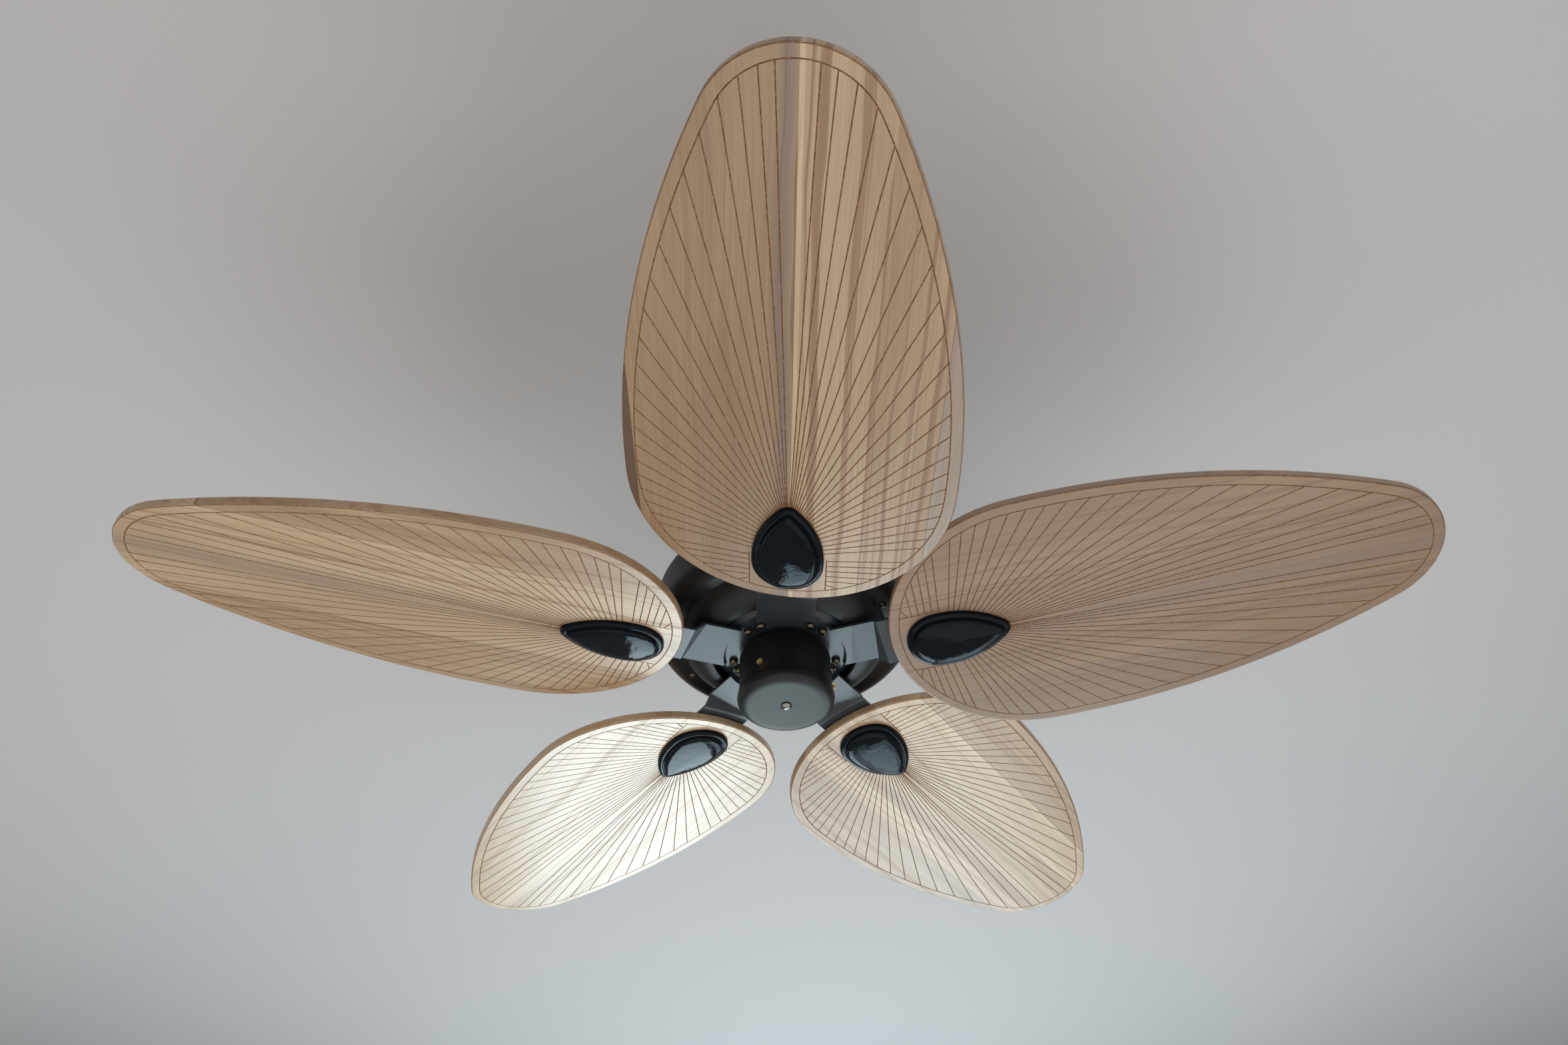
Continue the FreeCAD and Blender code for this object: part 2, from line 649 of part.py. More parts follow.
def lower_housing():
    """Pressed pan round the motor's hub: rolled lip, bulge, flat screw flange and round corner."""
    lip = (lip_r + LIP_EDGE_R, lip_level + LIP_EDGE_R)
    bulge = (lip_r + LIP_EDGE_R, lip_level + bulge_r)
    corner = (HOUSING_R - CORNER_R, band_level)
    outline = wire((lip_r, lip_level + LIP_HEIGHT), polar(lip, LIP_EDGE_R, 180),
                   arc(lip, LIP_EDGE_R, 180, 270),
                   arc(bulge, bulge_r, -90, BULGE_ANGLE - 90), (HOUSING_R - CORNER_R, flange_level),
                   arc(corner, CORNER_R, -90, 0))
    pan = sheet(outline, HOUSING_WALL)
    hole = rod(HOUSING_SCREW_R + LOOSE, flange_level, flange_level + HOUSING_WALL, post_circle_r)
    return pan.cut(Part.makeCompound(ring_of(hole, POST_COUNT, FIRST_POST)))


def housing_screws():
    """Screws from below through the pan's flange into the posts."""
    top = flange_level + HOUSING_WALL + HOUSING_SCREW_BITE
    screw = rod(HOUSING_SCREW_R, flange_level, top).fuse(
        pan_head(HOUSING_SCREW_HEAD_R, HOUSING_SCREW_HEAD, flange_level))
    screw.translate(Vector(post_circle_r, 0, 0))
    return Part.makeCompound(ring_of(screw, POST_COUNT, FIRST_POST))


# Motor

def motor_shaft():
    """Fixed hollow shaft: top end in the yoke, collar under the lower bearing, threaded lower end."""
    top = housing_top + YOKE_FLOOR
    bottom = cup_top - CUP_WALL - SHAFT_NUT - SHAFT_END
    shaft = rod(BEARING_BORE_R, lower_bearing, top).fuse(rod(SHAFT_COLLAR_R, cup_top, lower_bearing))
    shaft = shaft.fuse(rod(SHAFT_THREAD_R, bottom, cup_top))
    return shaft.cut(rod(SHAFT_BORE_R, bottom, top))


def stator_slot(margin):
    """One winding slot of the stator, narrowed by a margin on each side."""
    half = STATOR_HEIGHT / 2 + margin
    return box(stator_yoke_r + margin, stator_r - STATOR_TIP - margin, margin - SLOT_WIDTH / 2,
               SLOT_WIDTH / 2 - margin, rotor_mid - half, rotor_mid + half)


def stator_core():
    """Stack of laminations with its slots open to the air gap."""
    half = STATOR_HEIGHT / 2
    core = rod(stator_r, rotor_mid - half, rotor_mid + half)
    core = core.cut(rod(BEARING_BORE_R + PRESS, rotor_mid - half, rotor_mid + half))
    mouth = box(stator_yoke_r, stator_r, -SLOT_MOUTH / 2, SLOT_MOUTH / 2, rotor_mid - half, rotor_mid + half)
    slot = stator_slot(0).fuse(mouth)
    return core.cut(Part.makeCompound(ring_of(slot, STATOR_SLOTS, 0)))


def stator_windings():
    """Copper in the slots, with the end turns above and below the core."""
    half = STATOR_HEIGHT / 2 + LOOSE
    outer = stator_r - STATOR_TIP - LOOSE
    inner = stator_yoke_r + LOOSE
    turns = [rod(outer, level, level + END_TURN).cut(rod(inner, level, level + END_TURN))
             for level in (rotor_mid + half, rotor_mid - half - END_TURN)]
    return turns[0].multiFuse(turns[1:] + ring_of(stator_slot(LOOSE), STATOR_SLOTS, 0)).removeSplitter()


def bearing_inner(level):
    """Inner race, pressed on the shaft."""
    race = rod(BEARING_BORE_R + PRESS + RACE_THICKNESS, level, level + BEARING_WIDTH)
    return race.cut(rod(BEARING_BORE_R + PRESS, level, level + BEARING_WIDTH))


def bearing_outer(level):
    """Outer race with the two shields that close the bearing."""
    near = BEARING_BORE_R + PRESS + RACE_THICKNESS + RUNNING
    track = BEARING_R - RACE_THICKNESS
    top = level + BEARING_WIDTH
    return spin((near, level), (BEARING_R, level), (BEARING_R, top), (near, top), (near, top - SHIELD),
                (track, top - SHIELD), (track, level + SHIELD), (near, level + SHIELD))


def bell():
    """Half of the rotor's case: boss, cone, seat for the rotor ring, skirt and bolting flange."""
    seat = rotor_mid - ROTOR_HEIGHT / 2
    floor = motor_bottom + BELL_WALL
    hub = BEARING_R + PRESS + BELL_HUB_WALL
    bore = BEARING_R + PRESS
    clear = SHAFT_COLLAR_R + SHAFT_COLLAR_GAP
    ring = rotor_r + RUNNING
    top = lower_bearing + BEARING_WIDTH
    flange = rotor_mid - BELL_FLANGE_THICKNESS
    profile = [(boss_r, motor_bottom), (skirt_r, seat - BELL_WALL), (skirt_r, flange),
               (bell_flange_r, flange), (bell_flange_r, rotor_mid), (ring, rotor_mid),
               (ring, seat), (ring - BELL_SEAT, seat),
               (boss_r - BELL_WALL, floor), (hub, floor), (hub, top), (bore, top), (bore, lower_bearing),
               (clear, lower_bearing)]
    hole = rod(BELL_SCREW_R + PRESS, flange, rotor_mid, (skirt_r + bell_flange_r) / 2)
    body = spin((clear, motor_bottom), *profile)
    return body.cut(Part.makeCompound(ring_of(hole, BLADE_COUNT, FIRST_BLADE)))


def lower_bell():
    """Lower half of the rotor's case, tapped for the iron screws."""
    hole = rod(IRON_SCREW_R + PRESS, motor_bottom, motor_bottom + BELL_WALL, IRON_SCREW_CIRCLE_R)
    pair = Part.makeCompound([turned(hole, side * IRON_SCREW_ANGLE) for side in (-1, 1)])
    return bell().cut(Part.makeCompound(ring_of(pair, BLADE_COUNT, FIRST_BLADE)))


def upper_bell():
    """Upper half of the rotor's case, the mirror image of the lower one."""
    return bell().mirror(Vector(0, 0, rotor_mid), Z_AXIS)


def rotor_ring():
    """Laminated ring with the cast cage, clamped between the bells."""
    half = ROTOR_HEIGHT / 2
    ring = rod(rotor_r, rotor_mid - half, rotor_mid + half)
    return ring.cut(rod(rotor_inner_r, rotor_mid - half, rotor_mid + half))


def bell_screws():
    """Screws that clamp the two bells."""
    top = rotor_mid + BELL_FLANGE_THICKNESS
    place = (skirt_r + bell_flange_r) / 2
    screw = rod(BELL_SCREW_R, rotor_mid - BELL_FLANGE_THICKNESS, top, place)
    screw = screw.fuse(rod(BELL_SCREW_HEAD_R, top, top + BELL_SCREW_HEAD, place))
    return Part.makeCompound(ring_of(screw, BLADE_COUNT, FIRST_BLADE))


# Irons and blades, drawn for a blade along X

def iron_foot():
    """Arc-shaped foot under the motor, with the joggle down to the arm."""
    top = foot_level + IRON_THICKNESS
    end = joggle_r + JOGGLE_LAND
    outline = wire((FOOT_INNER_R, foot_level), (FOOT_OUTER_R, foot_level), (joggle_r, arm_level),
                   (end, arm_level), (end, arm_level + IRON_THICKNESS),
                   (joggle_r + joggle_shift, arm_level + IRON_THICKNESS), (FOOT_OUTER_R + joggle_shift, top),
                   (FOOT_INNER_R, top), (FOOT_INNER_R, foot_level))
    foot = Part.Face(outline).revolve(Vector(), Z_AXIS, 2 * FOOT_HALF_ANGLE)
    foot = turned(foot, -FOOT_HALF_ANGLE)
    return foot.common(box(0, end, -half_iron, half_iron, arm_level, top))


def iron_side(y):
    """Section of the arm, ramp and pad at one distance from the blade's axis."""
    pad = BLADE_THICKNESS / math.cos(pitch) - y * math.tan(pitch)
    pad_top = pad + IRON_THICKNESS / math.cos(pitch)
    ramp = math.radians(IRON_RAMP_ANGLE)
    start = ramp_end - (arm_level - pad) / math.tan(ramp)
    shift = IRON_THICKNESS * math.tan(ramp / 2)
    end = blade_screw_places[2][0] + IRON_TONGUE_R
    arm_top = arm_level + IRON_THICKNESS
    section = wire((FOOT_INNER_R, arm_level), (start, arm_level), (ramp_end, pad), (end, pad), (end, pad_top),
                   (ramp_end + shift, pad_top), (start + shift, arm_top), (FOOT_INNER_R, arm_top),
                   (FOOT_INNER_R, arm_level))
    section.translate(Vector(0, y, 0))
    return section


def iron_tongue():
    """Plan outline of arm and pad: straight sides, then a taper to a round end past the last screw."""
    tip = blade_screw_places[2][0]
    wide = blade_screw_places[0][0] - IRON_SHOULDER
    lean = math.asin((half_iron - IRON_TONGUE_R) / (tip - wide))
    side = (tip + IRON_TONGUE_R * math.sin(lean), IRON_TONGUE_R * math.cos(lean))
    inner = Vector(FOOT_INNER_R, half_iron, 0)
    corner = Vector(wide, half_iron, 0)
    upper = Vector(side[0], side[1], 0)
    flip = [Vector(p.x, -p.y, 0) for p in (upper, corner, inner)]
    nose = Part.Arc(upper, Vector(tip + IRON_TONGUE_R, 0, 0), flip[0]).toShape()
    edges = [Part.makeLine(inner, corner), Part.makeLine(corner, upper), nose,
             Part.makeLine(flip[0], flip[1]), Part.makeLine(flip[1], flip[2]), Part.makeLine(flip[2], inner)]
    return Part.Face(Part.Wire(edges)).extrude(Vector(0, 0, foot_level + IRON_THICKNESS))


def blade_iron():
    """Pressed iron: foot, joggle, flat arm, ramp that takes up the pitch, and the pad on the blade."""
    arm = Part.makeLoft([iron_side(-half_iron), iron_side(half_iron)], True, True)
    creases = [edge for edge in arm.Edges if is_crease(edge)]
    arm = arm.makeFillet(IRON_BEND_R, creases)
    arm = arm.common(iron_tongue())
    arm = arm.cut(rod(joggle_r + JOGGLE_LAND / 2, 0, foot_level + IRON_THICKNESS))
    iron = arm.fuse(iron_foot()).removeSplitter()
    for side in (-1, 1):
        hole = rod(IRON_SCREW_R + LOOSE, foot_level, foot_level + IRON_THICKNESS, IRON_SCREW_CIRCLE_R)
        iron = iron.cut(turned(hole, side * IRON_SCREW_ANGLE))
    for x, y in blade_screw_places:
        iron = iron.cut(tilted(rod(BLADE_SCREW_R + LOOSE, 0, foot_level, x, y)))
    return iron


def is_crease(edge):
    """True for the four bend lines that cross the arm."""
    first, last = edge.Vertexes[0].Point, edge.Vertexes[-1].Point
    across = abs(first.y - last.y) > half_iron
    inside = FOOT_INNER_R + LOOSE < first.x < blade_screw_places[2][0]
    return across and inside


def blade():
    """Leaf of solid wood with rounded edges, drilled for its three screws."""
    face = leaf(BLADE_ROOT, SWEEP_R - BLADE_ROOT, BLADE_ROOT_R, BLADE_TIP_R, BLADE_SIDE_R)
    board = face.extrude(Vector(0, 0, BLADE_THICKNESS))
    rims = [edge for edge in board.Edges if abs(edge.Vertexes[0].Z - edge.Vertexes[1].Z) < LOOSE]
    board = board.makeFillet(BLADE_EDGE_R, rims)
    holes = [rod(BLADE_SCREW_R + LOOSE, 0, BLADE_THICKNESS, x, y) for x, y in blade_screw_places]
    return board.cut(Part.makeCompound(holes))


def medallion():
    """Teardrop boss under the blade: a rounded flange, and a crowned dome within its rim."""
    shape = (medallion_root, MEDALLION_LENGTH, MEDALLION_BASE_R, MEDALLION_TIP_R, MEDALLION_SIDE_R)
    flange = leaf(*shape).extrude(Vector(0, 0, -MEDALLION_FLANGE))
    flange = flange.makeFillet(MEDALLION_FLANGE_EDGE_R, low_edges(flange))
    depth = MEDALLION_FLANGE + MEDALLION_DOME
    dome = leaf(*shape, inset=MEDALLION_RIM).extrude(Vector(0, 0, -depth - MEDALLION_DOME))
    middle = Vector(medallion_root + MEDALLION_LENGTH / 2, 0, MEDALLION_CROWN_R - depth)
    dome = dome.common(Part.makeSphere(MEDALLION_CROWN_R, middle, X_AXIS))
    dome = dome.makeFillet(MEDALLION_DOME_EDGE_R, low_edges(dome))
    body = flange.fuse(dome)
    holes = [rod(BLADE_SCREW_R + PRESS, -BLADE_SCREW_BITE, 0, x, y) for x, y in blade_screw_places]
    return body.cut(Part.makeCompound(holes))


def low_edges(body):
    """Edges round the lower end of an upright body that stands below the blade."""
    return [edge for edge in body.Edges if all(vertex.Z < -PRESS for vertex in edge.Vertexes)]


def blade_screws():
    """Three screws of one blade."""
    seat = BLADE_THICKNESS + IRON_THICKNESS + BLADE_WASHER
    screws = []
    for x, y in blade_screw_places:
        shank = rod(BLADE_SCREW_R, PRESS - BLADE_SCREW_BITE, seat, x, y)
        screws.append(shank.fuse(rod(BLADE_SCREW_HEAD_R, seat, seat + BLADE_SCREW_HEAD, x, y)))
    return Part.makeCompound(screws)


def blade_washers():
    """Three flat washers of one blade."""
    seat = BLADE_THICKNESS + IRON_THICKNESS
    washers = []
    for x, y in blade_screw_places:
        washer = rod(BLADE_WASHER_R, seat, seat + BLADE_WASHER, x, y)
        washers.append(washer.cut(rod(BLADE_SCREW_R + PRESS, seat, seat + BLADE_WASHER, x, y)))
    return Part.makeCompound(washers)


def iron_screws():
    """Two screws of one iron, from below into the motor's lower bell."""
    seat = foot_level - IRON_WASHER
    shank = rod(IRON_SCREW_R, seat, motor_bottom + BELL_WALL)
    screw = shank.fuse(pan_head(IRON_SCREW_HEAD_R, IRON_SCREW_HEAD, seat))
    screw.translate(Vector(IRON_SCREW_CIRCLE_R, 0, 0))
    return Part.makeCompound([turned(screw, side * IRON_SCREW_ANGLE) for side in (-1, 1)])


def iron_washers():
    """Two lock washers of one iron."""
    washer = rod(IRON_WASHER_R, foot_level - IRON_WASHER, foot_level)
    washer = washer.cut(rod(IRON_SCREW_R + PRESS, foot_level - IRON_WASHER, foot_level))
    washer.translate(Vector(IRON_SCREW_CIRCLE_R, 0, 0))
    return Part.makeCompound([turned(washer, side * IRON_SCREW_ANGLE) for side in (-1, 1)])


# Switch housing

def switch_cup():
    """Drawn cup clamped under the shaft's collar, with the slot for the reverse knob."""
    edge = (CUP_R - CUP_EDGE_R, cup_top - CUP_EDGE_R)
    outline = wire((SHAFT_THREAD_R + PRESS, cup_top), polar(edge, CUP_EDGE_R, 90),
                   arc(edge, CUP_EDGE_R, 90, 0), (CUP_R, seam_level))
    cup = sheet(outline, -CUP_WALL)
    half = KNOB_WIDTH / 2 + LOOSE
    low = knob_level() - LOOSE
    high = knob_level() + KNOB_HEIGHT + KNOB_TRAVEL + LOOSE
    cup = cup.cut(box(-half, half, 0, CUP_R, low, high))
    level = seam_level + CUP_SCREW_RISE
    hole = bar(CUP_SCREW_R + LOOSE, Vector(0, 0, level), Vector(CUP_R, 0, level))
    return cup.cut(Part.makeCompound(ring_of(hole, CUP_SCREW_COUNT, FIRST_CUP_SCREW)))


def shaft_nut():
    """Hexagon nut that clamps the cup to the shaft."""
    top = cup_top - CUP_WALL
    return hexagon(SHAFT_NUT_R, top - SHAFT_NUT, top).cut(rod(SHAFT_THREAD_R + PRESS, top - SHAFT_NUT, top))


def switch_cap():
    """Bottom cover: skirt inside the cup, lip at the seam, flared side, soft edge and flat bottom."""
    skirt = cup_inner_r - LOOSE
    lip = CUP_R + CAP_LIP
    inner = CAP_R - CAP_WALL
    flat_r = CAP_R - CAP_ROUND
    hole_r = CAP_SCREW_R + PRESS
    floor = cap_bottom + CAP_WALL
    throat = seam_level - CAP_LIP_HEIGHT
    flare = throat - CAP_FLARE
    cap = spin((skirt, seam_level + CAP_SKIRT), (skirt, seam_level), (lip, seam_level), (lip, throat),
               (CAP_R, flare), Bend((CAP_R, cap_bottom), (flat_r, cap_bottom)), (hole_r, cap_bottom),
               (hole_r, floor), (flat_r, floor), Bend((inner, floor), (inner, flare)),
               (skirt - CAP_WALL, throat), (skirt - CAP_WALL, seam_level + CAP_SKIRT))
    level = seam_level + CUP_SCREW_RISE
    hole = bar(CUP_SCREW_R + PRESS, Vector(0, 0, level), Vector(CUP_R, 0, level))
    return cap.cut(Part.makeCompound(ring_of(hole, CUP_SCREW_COUNT, FIRST_CUP_SCREW)))


def cap_screw():
    """Domed screw that plugs the hole in the middle of the cap."""
    shank = rod(CAP_SCREW_R, cap_bottom, cap_bottom + CAP_SCREW_LENGTH)
    return shank.fuse(pan_head(CAP_SCREW_HEAD_R, CAP_SCREW_HEAD, cap_bottom))


def cap_nut():
    """Nut of the plug screw, inside the cap."""
    base = cap_bottom + CAP_WALL
    return hexagon(CAP_NUT_R, base, base + CAP_NUT).cut(rod(CAP_SCREW_R + PRESS, base, base + CAP_NUT))


def cup_screws():
    """Brass thumb screws through the cup into the cap's skirt."""
    level = seam_level + CUP_SCREW_RISE
    seat = Vector(CUP_R + RUNNING, 0, level)
    shank = bar(CUP_SCREW_R, Vector(cup_inner_r - LOOSE - CAP_WALL, 0, level), seat)
    screw = shank.fuse(bar(CUP_SCREW_HEAD_R, seat, seat + Vector(CUP_SCREW_HEAD, 0, 0)))
    return Part.makeCompound(ring_of(screw, CUP_SCREW_COUNT, FIRST_CUP_SCREW))


def capacitor():
    """Run capacitor fixed under the cup's top."""
    top = cup_top - CUP_WALL
    half = CAPACITOR_WIDTH / 2
    block = box(CAPACITOR_X - CAPACITOR_LENGTH / 2, CAPACITOR_X + CAPACITOR_LENGTH / 2, -half, half,
                top - CAPACITOR_HEIGHT, top)
    upright = [edge for edge in block.Edges if edge.BoundBox.ZLength > CAPACITOR_EDGE_R]
    return block.makeFillet(CAPACITOR_EDGE_R, upright)


def switch_face():
    """Distance from the axis of the reverse switch's front, whose corners meet the cup's wall."""
    return math.sqrt((cup_inner_r - LOOSE) ** 2 - (SWITCH_WIDTH / 2) ** 2)


def knob_level():
    """Lower end of the reverse knob when it is down."""
    return cup_top - SWITCH_DROP - (SWITCH_HEIGHT + KNOB_HEIGHT + KNOB_TRAVEL) / 2


def reverse_switch():
    """Body of the slide switch that reverses the fan."""
    top = cup_top - SWITCH_DROP
    front = switch_face()
    half = SWITCH_WIDTH / 2
    return box(-half, half, front - SWITCH_DEPTH, front, top - SWITCH_HEIGHT, top)


def reverse_knob():
    """Slider of the reverse switch, standing out through the cup."""
    half = KNOB_WIDTH / 2
    front = CUP_R + KNOB_STAND
    return box(-half, half, switch_face() + LOOSE, front, knob_level(), knob_level() + KNOB_HEIGHT)


# All pieces, written one file each

os.makedirs("parts", exist_ok=True)

export("hanger_bracket", hanger_bracket())
export("ground_screw", ground_screw())
export("canopy", canopy())
export("canopy_screws", canopy_screws())
export("hanger_ball", hanger_ball(), -BALL_DROP)
export("ball_pin", ball_pin(), -BALL_DROP)
export("ball_set_screw", ball_set_screw(), -BALL_DROP)
export("downrod", downrod())

at_blade_level = {
    "motor_yoke": motor_yoke(),
    "clevis_pin": clevis_pin(),
    "hitch_pin": hitch_pin(),
    "yoke_set_screws": yoke_set_screws(),
    "coupling_cover": coupling_cover(),
    "upper_housing": upper_housing(),
    "housing_plate": housing_plate(),
    "housing_plate_screws": housing_plate_screws(),
    "lower_housing": lower_housing(),
    "housing_screws": housing_screws(),
    "motor_shaft": motor_shaft(),
    "stator_core": stator_core(),
    "stator_windings": stator_windings(),
    "lower_bearing_inner": bearing_inner(lower_bearing),
    "upper_bearing_inner": bearing_inner(upper_bearing),
    "lower_bearing_outer": bearing_outer(lower_bearing),
    "upper_bearing_outer": bearing_outer(upper_bearing),
    "lower_bell": lower_bell(),
    "upper_bell": upper_bell(),
    "rotor_ring": rotor_ring(),
    "bell_screws": bell_screws(),
    "switch_cup": switch_cup(),
    "shaft_nut": shaft_nut(),
    "switch_cap": switch_cap(),
    "cap_screw": cap_screw(),
    "cap_nut": cap_nut(),
    "cup_screws": cup_screws(),
    "capacitor": capacitor(),
    "reverse_switch": reverse_switch(),
    "reverse_knob": reverse_knob(),
}

one_iron = blade_iron()
one_blade = tilted(blade())
one_medallion = tilted(medallion())
for number in range(BLADE_COUNT):
    angle = FIRST_BLADE + number * 360 / BLADE_COUNT
    at_blade_level["blade_iron_" + str(number + 1)] = turned(one_iron, angle)
    at_blade_level["blade_" + str(number + 1)] = turned(one_blade, angle)
    at_blade_level["medallion_" + str(number + 1)] = turned(one_medallion, angle)

for name, shape in (("blade_screws", tilted(blade_screws())), ("blade_washers", tilted(blade_washers())),
                    ("iron_screws", iron_screws()), ("iron_washers", iron_washers())):
    at_blade_level[name] = Part.makeCompound(ring_of(shape, BLADE_COUNT, FIRST_BLADE))

for name, shape in at_blade_level.items():
    export(name, shape, blade_level)
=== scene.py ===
import math

import bmesh
import bpy
from mathutils import Matrix, Vector


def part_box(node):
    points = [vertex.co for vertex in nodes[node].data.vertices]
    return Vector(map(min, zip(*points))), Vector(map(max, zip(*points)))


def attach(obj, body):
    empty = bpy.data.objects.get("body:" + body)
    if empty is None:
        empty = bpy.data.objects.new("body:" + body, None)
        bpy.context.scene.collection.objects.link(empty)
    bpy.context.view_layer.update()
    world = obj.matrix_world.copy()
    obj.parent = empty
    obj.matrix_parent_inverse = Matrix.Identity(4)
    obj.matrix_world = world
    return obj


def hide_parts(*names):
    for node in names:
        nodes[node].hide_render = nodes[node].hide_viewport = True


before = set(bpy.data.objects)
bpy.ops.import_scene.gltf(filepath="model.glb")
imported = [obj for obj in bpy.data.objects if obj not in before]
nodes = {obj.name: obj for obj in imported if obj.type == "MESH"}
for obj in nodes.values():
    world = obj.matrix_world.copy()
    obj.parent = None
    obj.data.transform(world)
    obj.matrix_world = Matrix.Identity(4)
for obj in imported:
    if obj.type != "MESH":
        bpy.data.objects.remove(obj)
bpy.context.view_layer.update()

# Room: a pale ceiling that the fan hangs from and a pale floor far below it, each seen from its
# painted side only, so that a look from above or from under the floor still shows the fan. The
# ceiling throws no shadow, so the lamp above it reaches the upper side of the fan.
CEILING_SIZE = 9.0
FLOOR_SIZE = 40.0
CEILING_GAP = 0.001
FLOOR_LEVEL = -4.4
CEILING_COLOUR = (0.53, 0.51, 0.515, 1)
FLOOR_COLOUR = (0.66, 0.65, 0.63, 1)
FLOOR_PALENESS = 0.62
PAINT_ROUGHNESS = 0.9


def one_sided_paint(name, colour, paleness):
    """Matte wall paint that is clear from behind; the camera may see it paler than it is lit."""
    paint = bpy.data.materials.new(name)
    paint.use_nodes = True
    tree = paint.node_tree
    shader = tree.nodes["Principled BSDF"]
    shader.inputs["Base Color"].default_value = colour
    shader.inputs["Roughness"].default_value = PAINT_ROUGHNESS
    shader.inputs["Emission Color"].default_value = colour
    ray = tree.nodes.new("ShaderNodeLightPath")
    glow = tree.nodes.new("ShaderNodeMath")
    glow.operation = "MULTIPLY"
    glow.inputs[1].default_value = paleness
    tree.links.new(ray.outputs["Is Camera Ray"], glow.inputs[0])
    tree.links.new(glow.outputs[0], shader.inputs["Emission Strength"])
    clear = tree.nodes.new("ShaderNodeBsdfTransparent")
    side = tree.nodes.new("ShaderNodeNewGeometry")
    mix = tree.nodes.new("ShaderNodeMixShader")
    tree.links.new(side.outputs["Backfacing"], mix.inputs[0])
    tree.links.new(shader.outputs[0], mix.inputs[1])
    tree.links.new(clear.outputs[0], mix.inputs[2])
    tree.links.new(mix.outputs[0], tree.nodes["Material Output"].inputs["Surface"])
    return paint


def add_room_plane(name, size, level, facing, colour, paleness=0.0):
    """One flat surface of the room, facing up or down."""
    bpy.ops.mesh.primitive_plane_add(size=size, location=(0, 0, level), rotation=(facing, 0, 0))
    plane = bpy.context.object
    plane.name = name
    plane.data.materials.append(one_sided_paint(name + "_paint", colour, paleness))
    return plane


bpy.ops.object.select_all(action="DESELECT")
ceiling = add_room_plane("ceiling", CEILING_SIZE, CEILING_GAP, math.pi, CEILING_COLOUR)
ceiling.visible_shadow = False
add_room_plane("floor", FLOOR_SIZE, FLOOR_LEVEL, 0.0, FLOOR_COLOUR, FLOOR_PALENESS)

# Camera: below and in front of the fan, looking steeply up at it through a wide lens, so that the
# viewing angle and the frame are the photograph's.
PHOTO_WIDTH = 2353
FOCAL_PIXELS = 1645.3
SENSOR_WIDTH = 36.0
CAMERA_PLACE = Vector((-0.0271, -0.9350, -1.2024))
CAMERA_YAW = math.radians(1.85)
CAMERA_RISE = math.radians(45.60)
CAMERA_ROLL = math.radians(-1.63)

camera_data = bpy.data.cameras.new("camera")
camera_data.sensor_width = SENSOR_WIDTH
camera_data.lens = SENSOR_WIDTH * FOCAL_PIXELS / PHOTO_WIDTH
camera = bpy.data.objects.new("camera", camera_data)
bpy.context.scene.collection.objects.link(camera)
camera.matrix_world = (Matrix.Translation(CAMERA_PLACE) @ Matrix.Rotation(-CAMERA_YAW, 4, "Z")
                       @ Matrix.Rotation(math.pi / 2 + CAMERA_RISE, 4, "X")
                       @ Matrix.Rotation(CAMERA_ROLL, 4, "Z"))
bpy.context.scene.camera = camera

# Light: a cool window of two casements low on the far side, whose sheen runs over the far blades, a
# smaller pane to the right of it, a broad soft panel from below, one above for the upper side, and an
# even sky all round, which the camera sees as a pale backdrop.
FAN_CENTRE = Vector((0.0, 0.0, -0.47))
CASEMENT_PLACES = [Vector((-0.14, 3.0, -2.08)), Vector((0.97, 3.0, -2.08))]
CASEMENT_SIZE = (0.98, 1.77)
CASEMENT_WATTS = [41.8, 16.1]
WINDOW_COLOUR = (0.75, 0.93, 0.99)
PANE_PLACE = Vector((0.95, 2.1, -2.1))
PANE_SIZE = (0.8, 0.8)
PANE_WATTS = 6.0
PANEL_PLACE = Vector((0.15, -0.45, -2.15))
PANEL_SIZE = (3.6, 3.2)
PANEL_WATTS = 39.0
PANEL_COLOUR = (1.0, 0.95, 0.89)
SIDE_PLACE = Vector((-2.6, 0.8, -1.4))
SIDE_SIZE = (1.8, 1.4)
SIDE_WATTS = 7.0
TOP_PLACE = Vector((0.6, -0.8, 2.2))
TOP_SIZE = (2.6, 2.6)
TOP_WATTS = 60.0
SKY_COLOUR = (0.88, 0.93, 1.0, 1)
SKY_STRENGTH = 0.30
BACKDROP_COLOUR = (0.70, 0.71, 0.72, 1)


def add_panel(name, place, size, watts, colour):
    """Rectangular lamp that faces the fan and isn't seen by the camera."""
    lamp = bpy.data.lights.new(name, "AREA")
    lamp.shape = "RECTANGLE"
    lamp.size, lamp.size_y = size
    lamp.energy = watts
    lamp.color = colour
    panel = bpy.data.objects.new(name, lamp)
    bpy.context.scene.collection.objects.link(panel)
    panel.location = place
    panel.rotation_euler = (FAN_CENTRE - place).to_track_quat("-Z", "Y").to_euler()
    panel.visible_camera = False


for number, place in enumerate(CASEMENT_PLACES):
    add_panel("casement_" + str(number + 1), place, CASEMENT_SIZE, CASEMENT_WATTS[number], WINDOW_COLOUR)
add_panel("pane_light", PANE_PLACE, PANE_SIZE, PANE_WATTS, WINDOW_COLOUR)
add_panel("room_light", PANEL_PLACE, PANEL_SIZE, PANEL_WATTS, PANEL_COLOUR)
add_panel("side_light", SIDE_PLACE, SIDE_SIZE, SIDE_WATTS, PANEL_COLOUR)
add_panel("top_light", TOP_PLACE, TOP_SIZE, TOP_WATTS, PANEL_COLOUR)
world = bpy.data.worlds.new("sky")
world.use_nodes = True
air = world.node_tree
sky = air.nodes["Background"]
sky.inputs["Color"].default_value = SKY_COLOUR
sky.inputs["Strength"].default_value = SKY_STRENGTH
backdrop = air.nodes.new("ShaderNodeBackground")
backdrop.inputs["Color"].default_value = BACKDROP_COLOUR
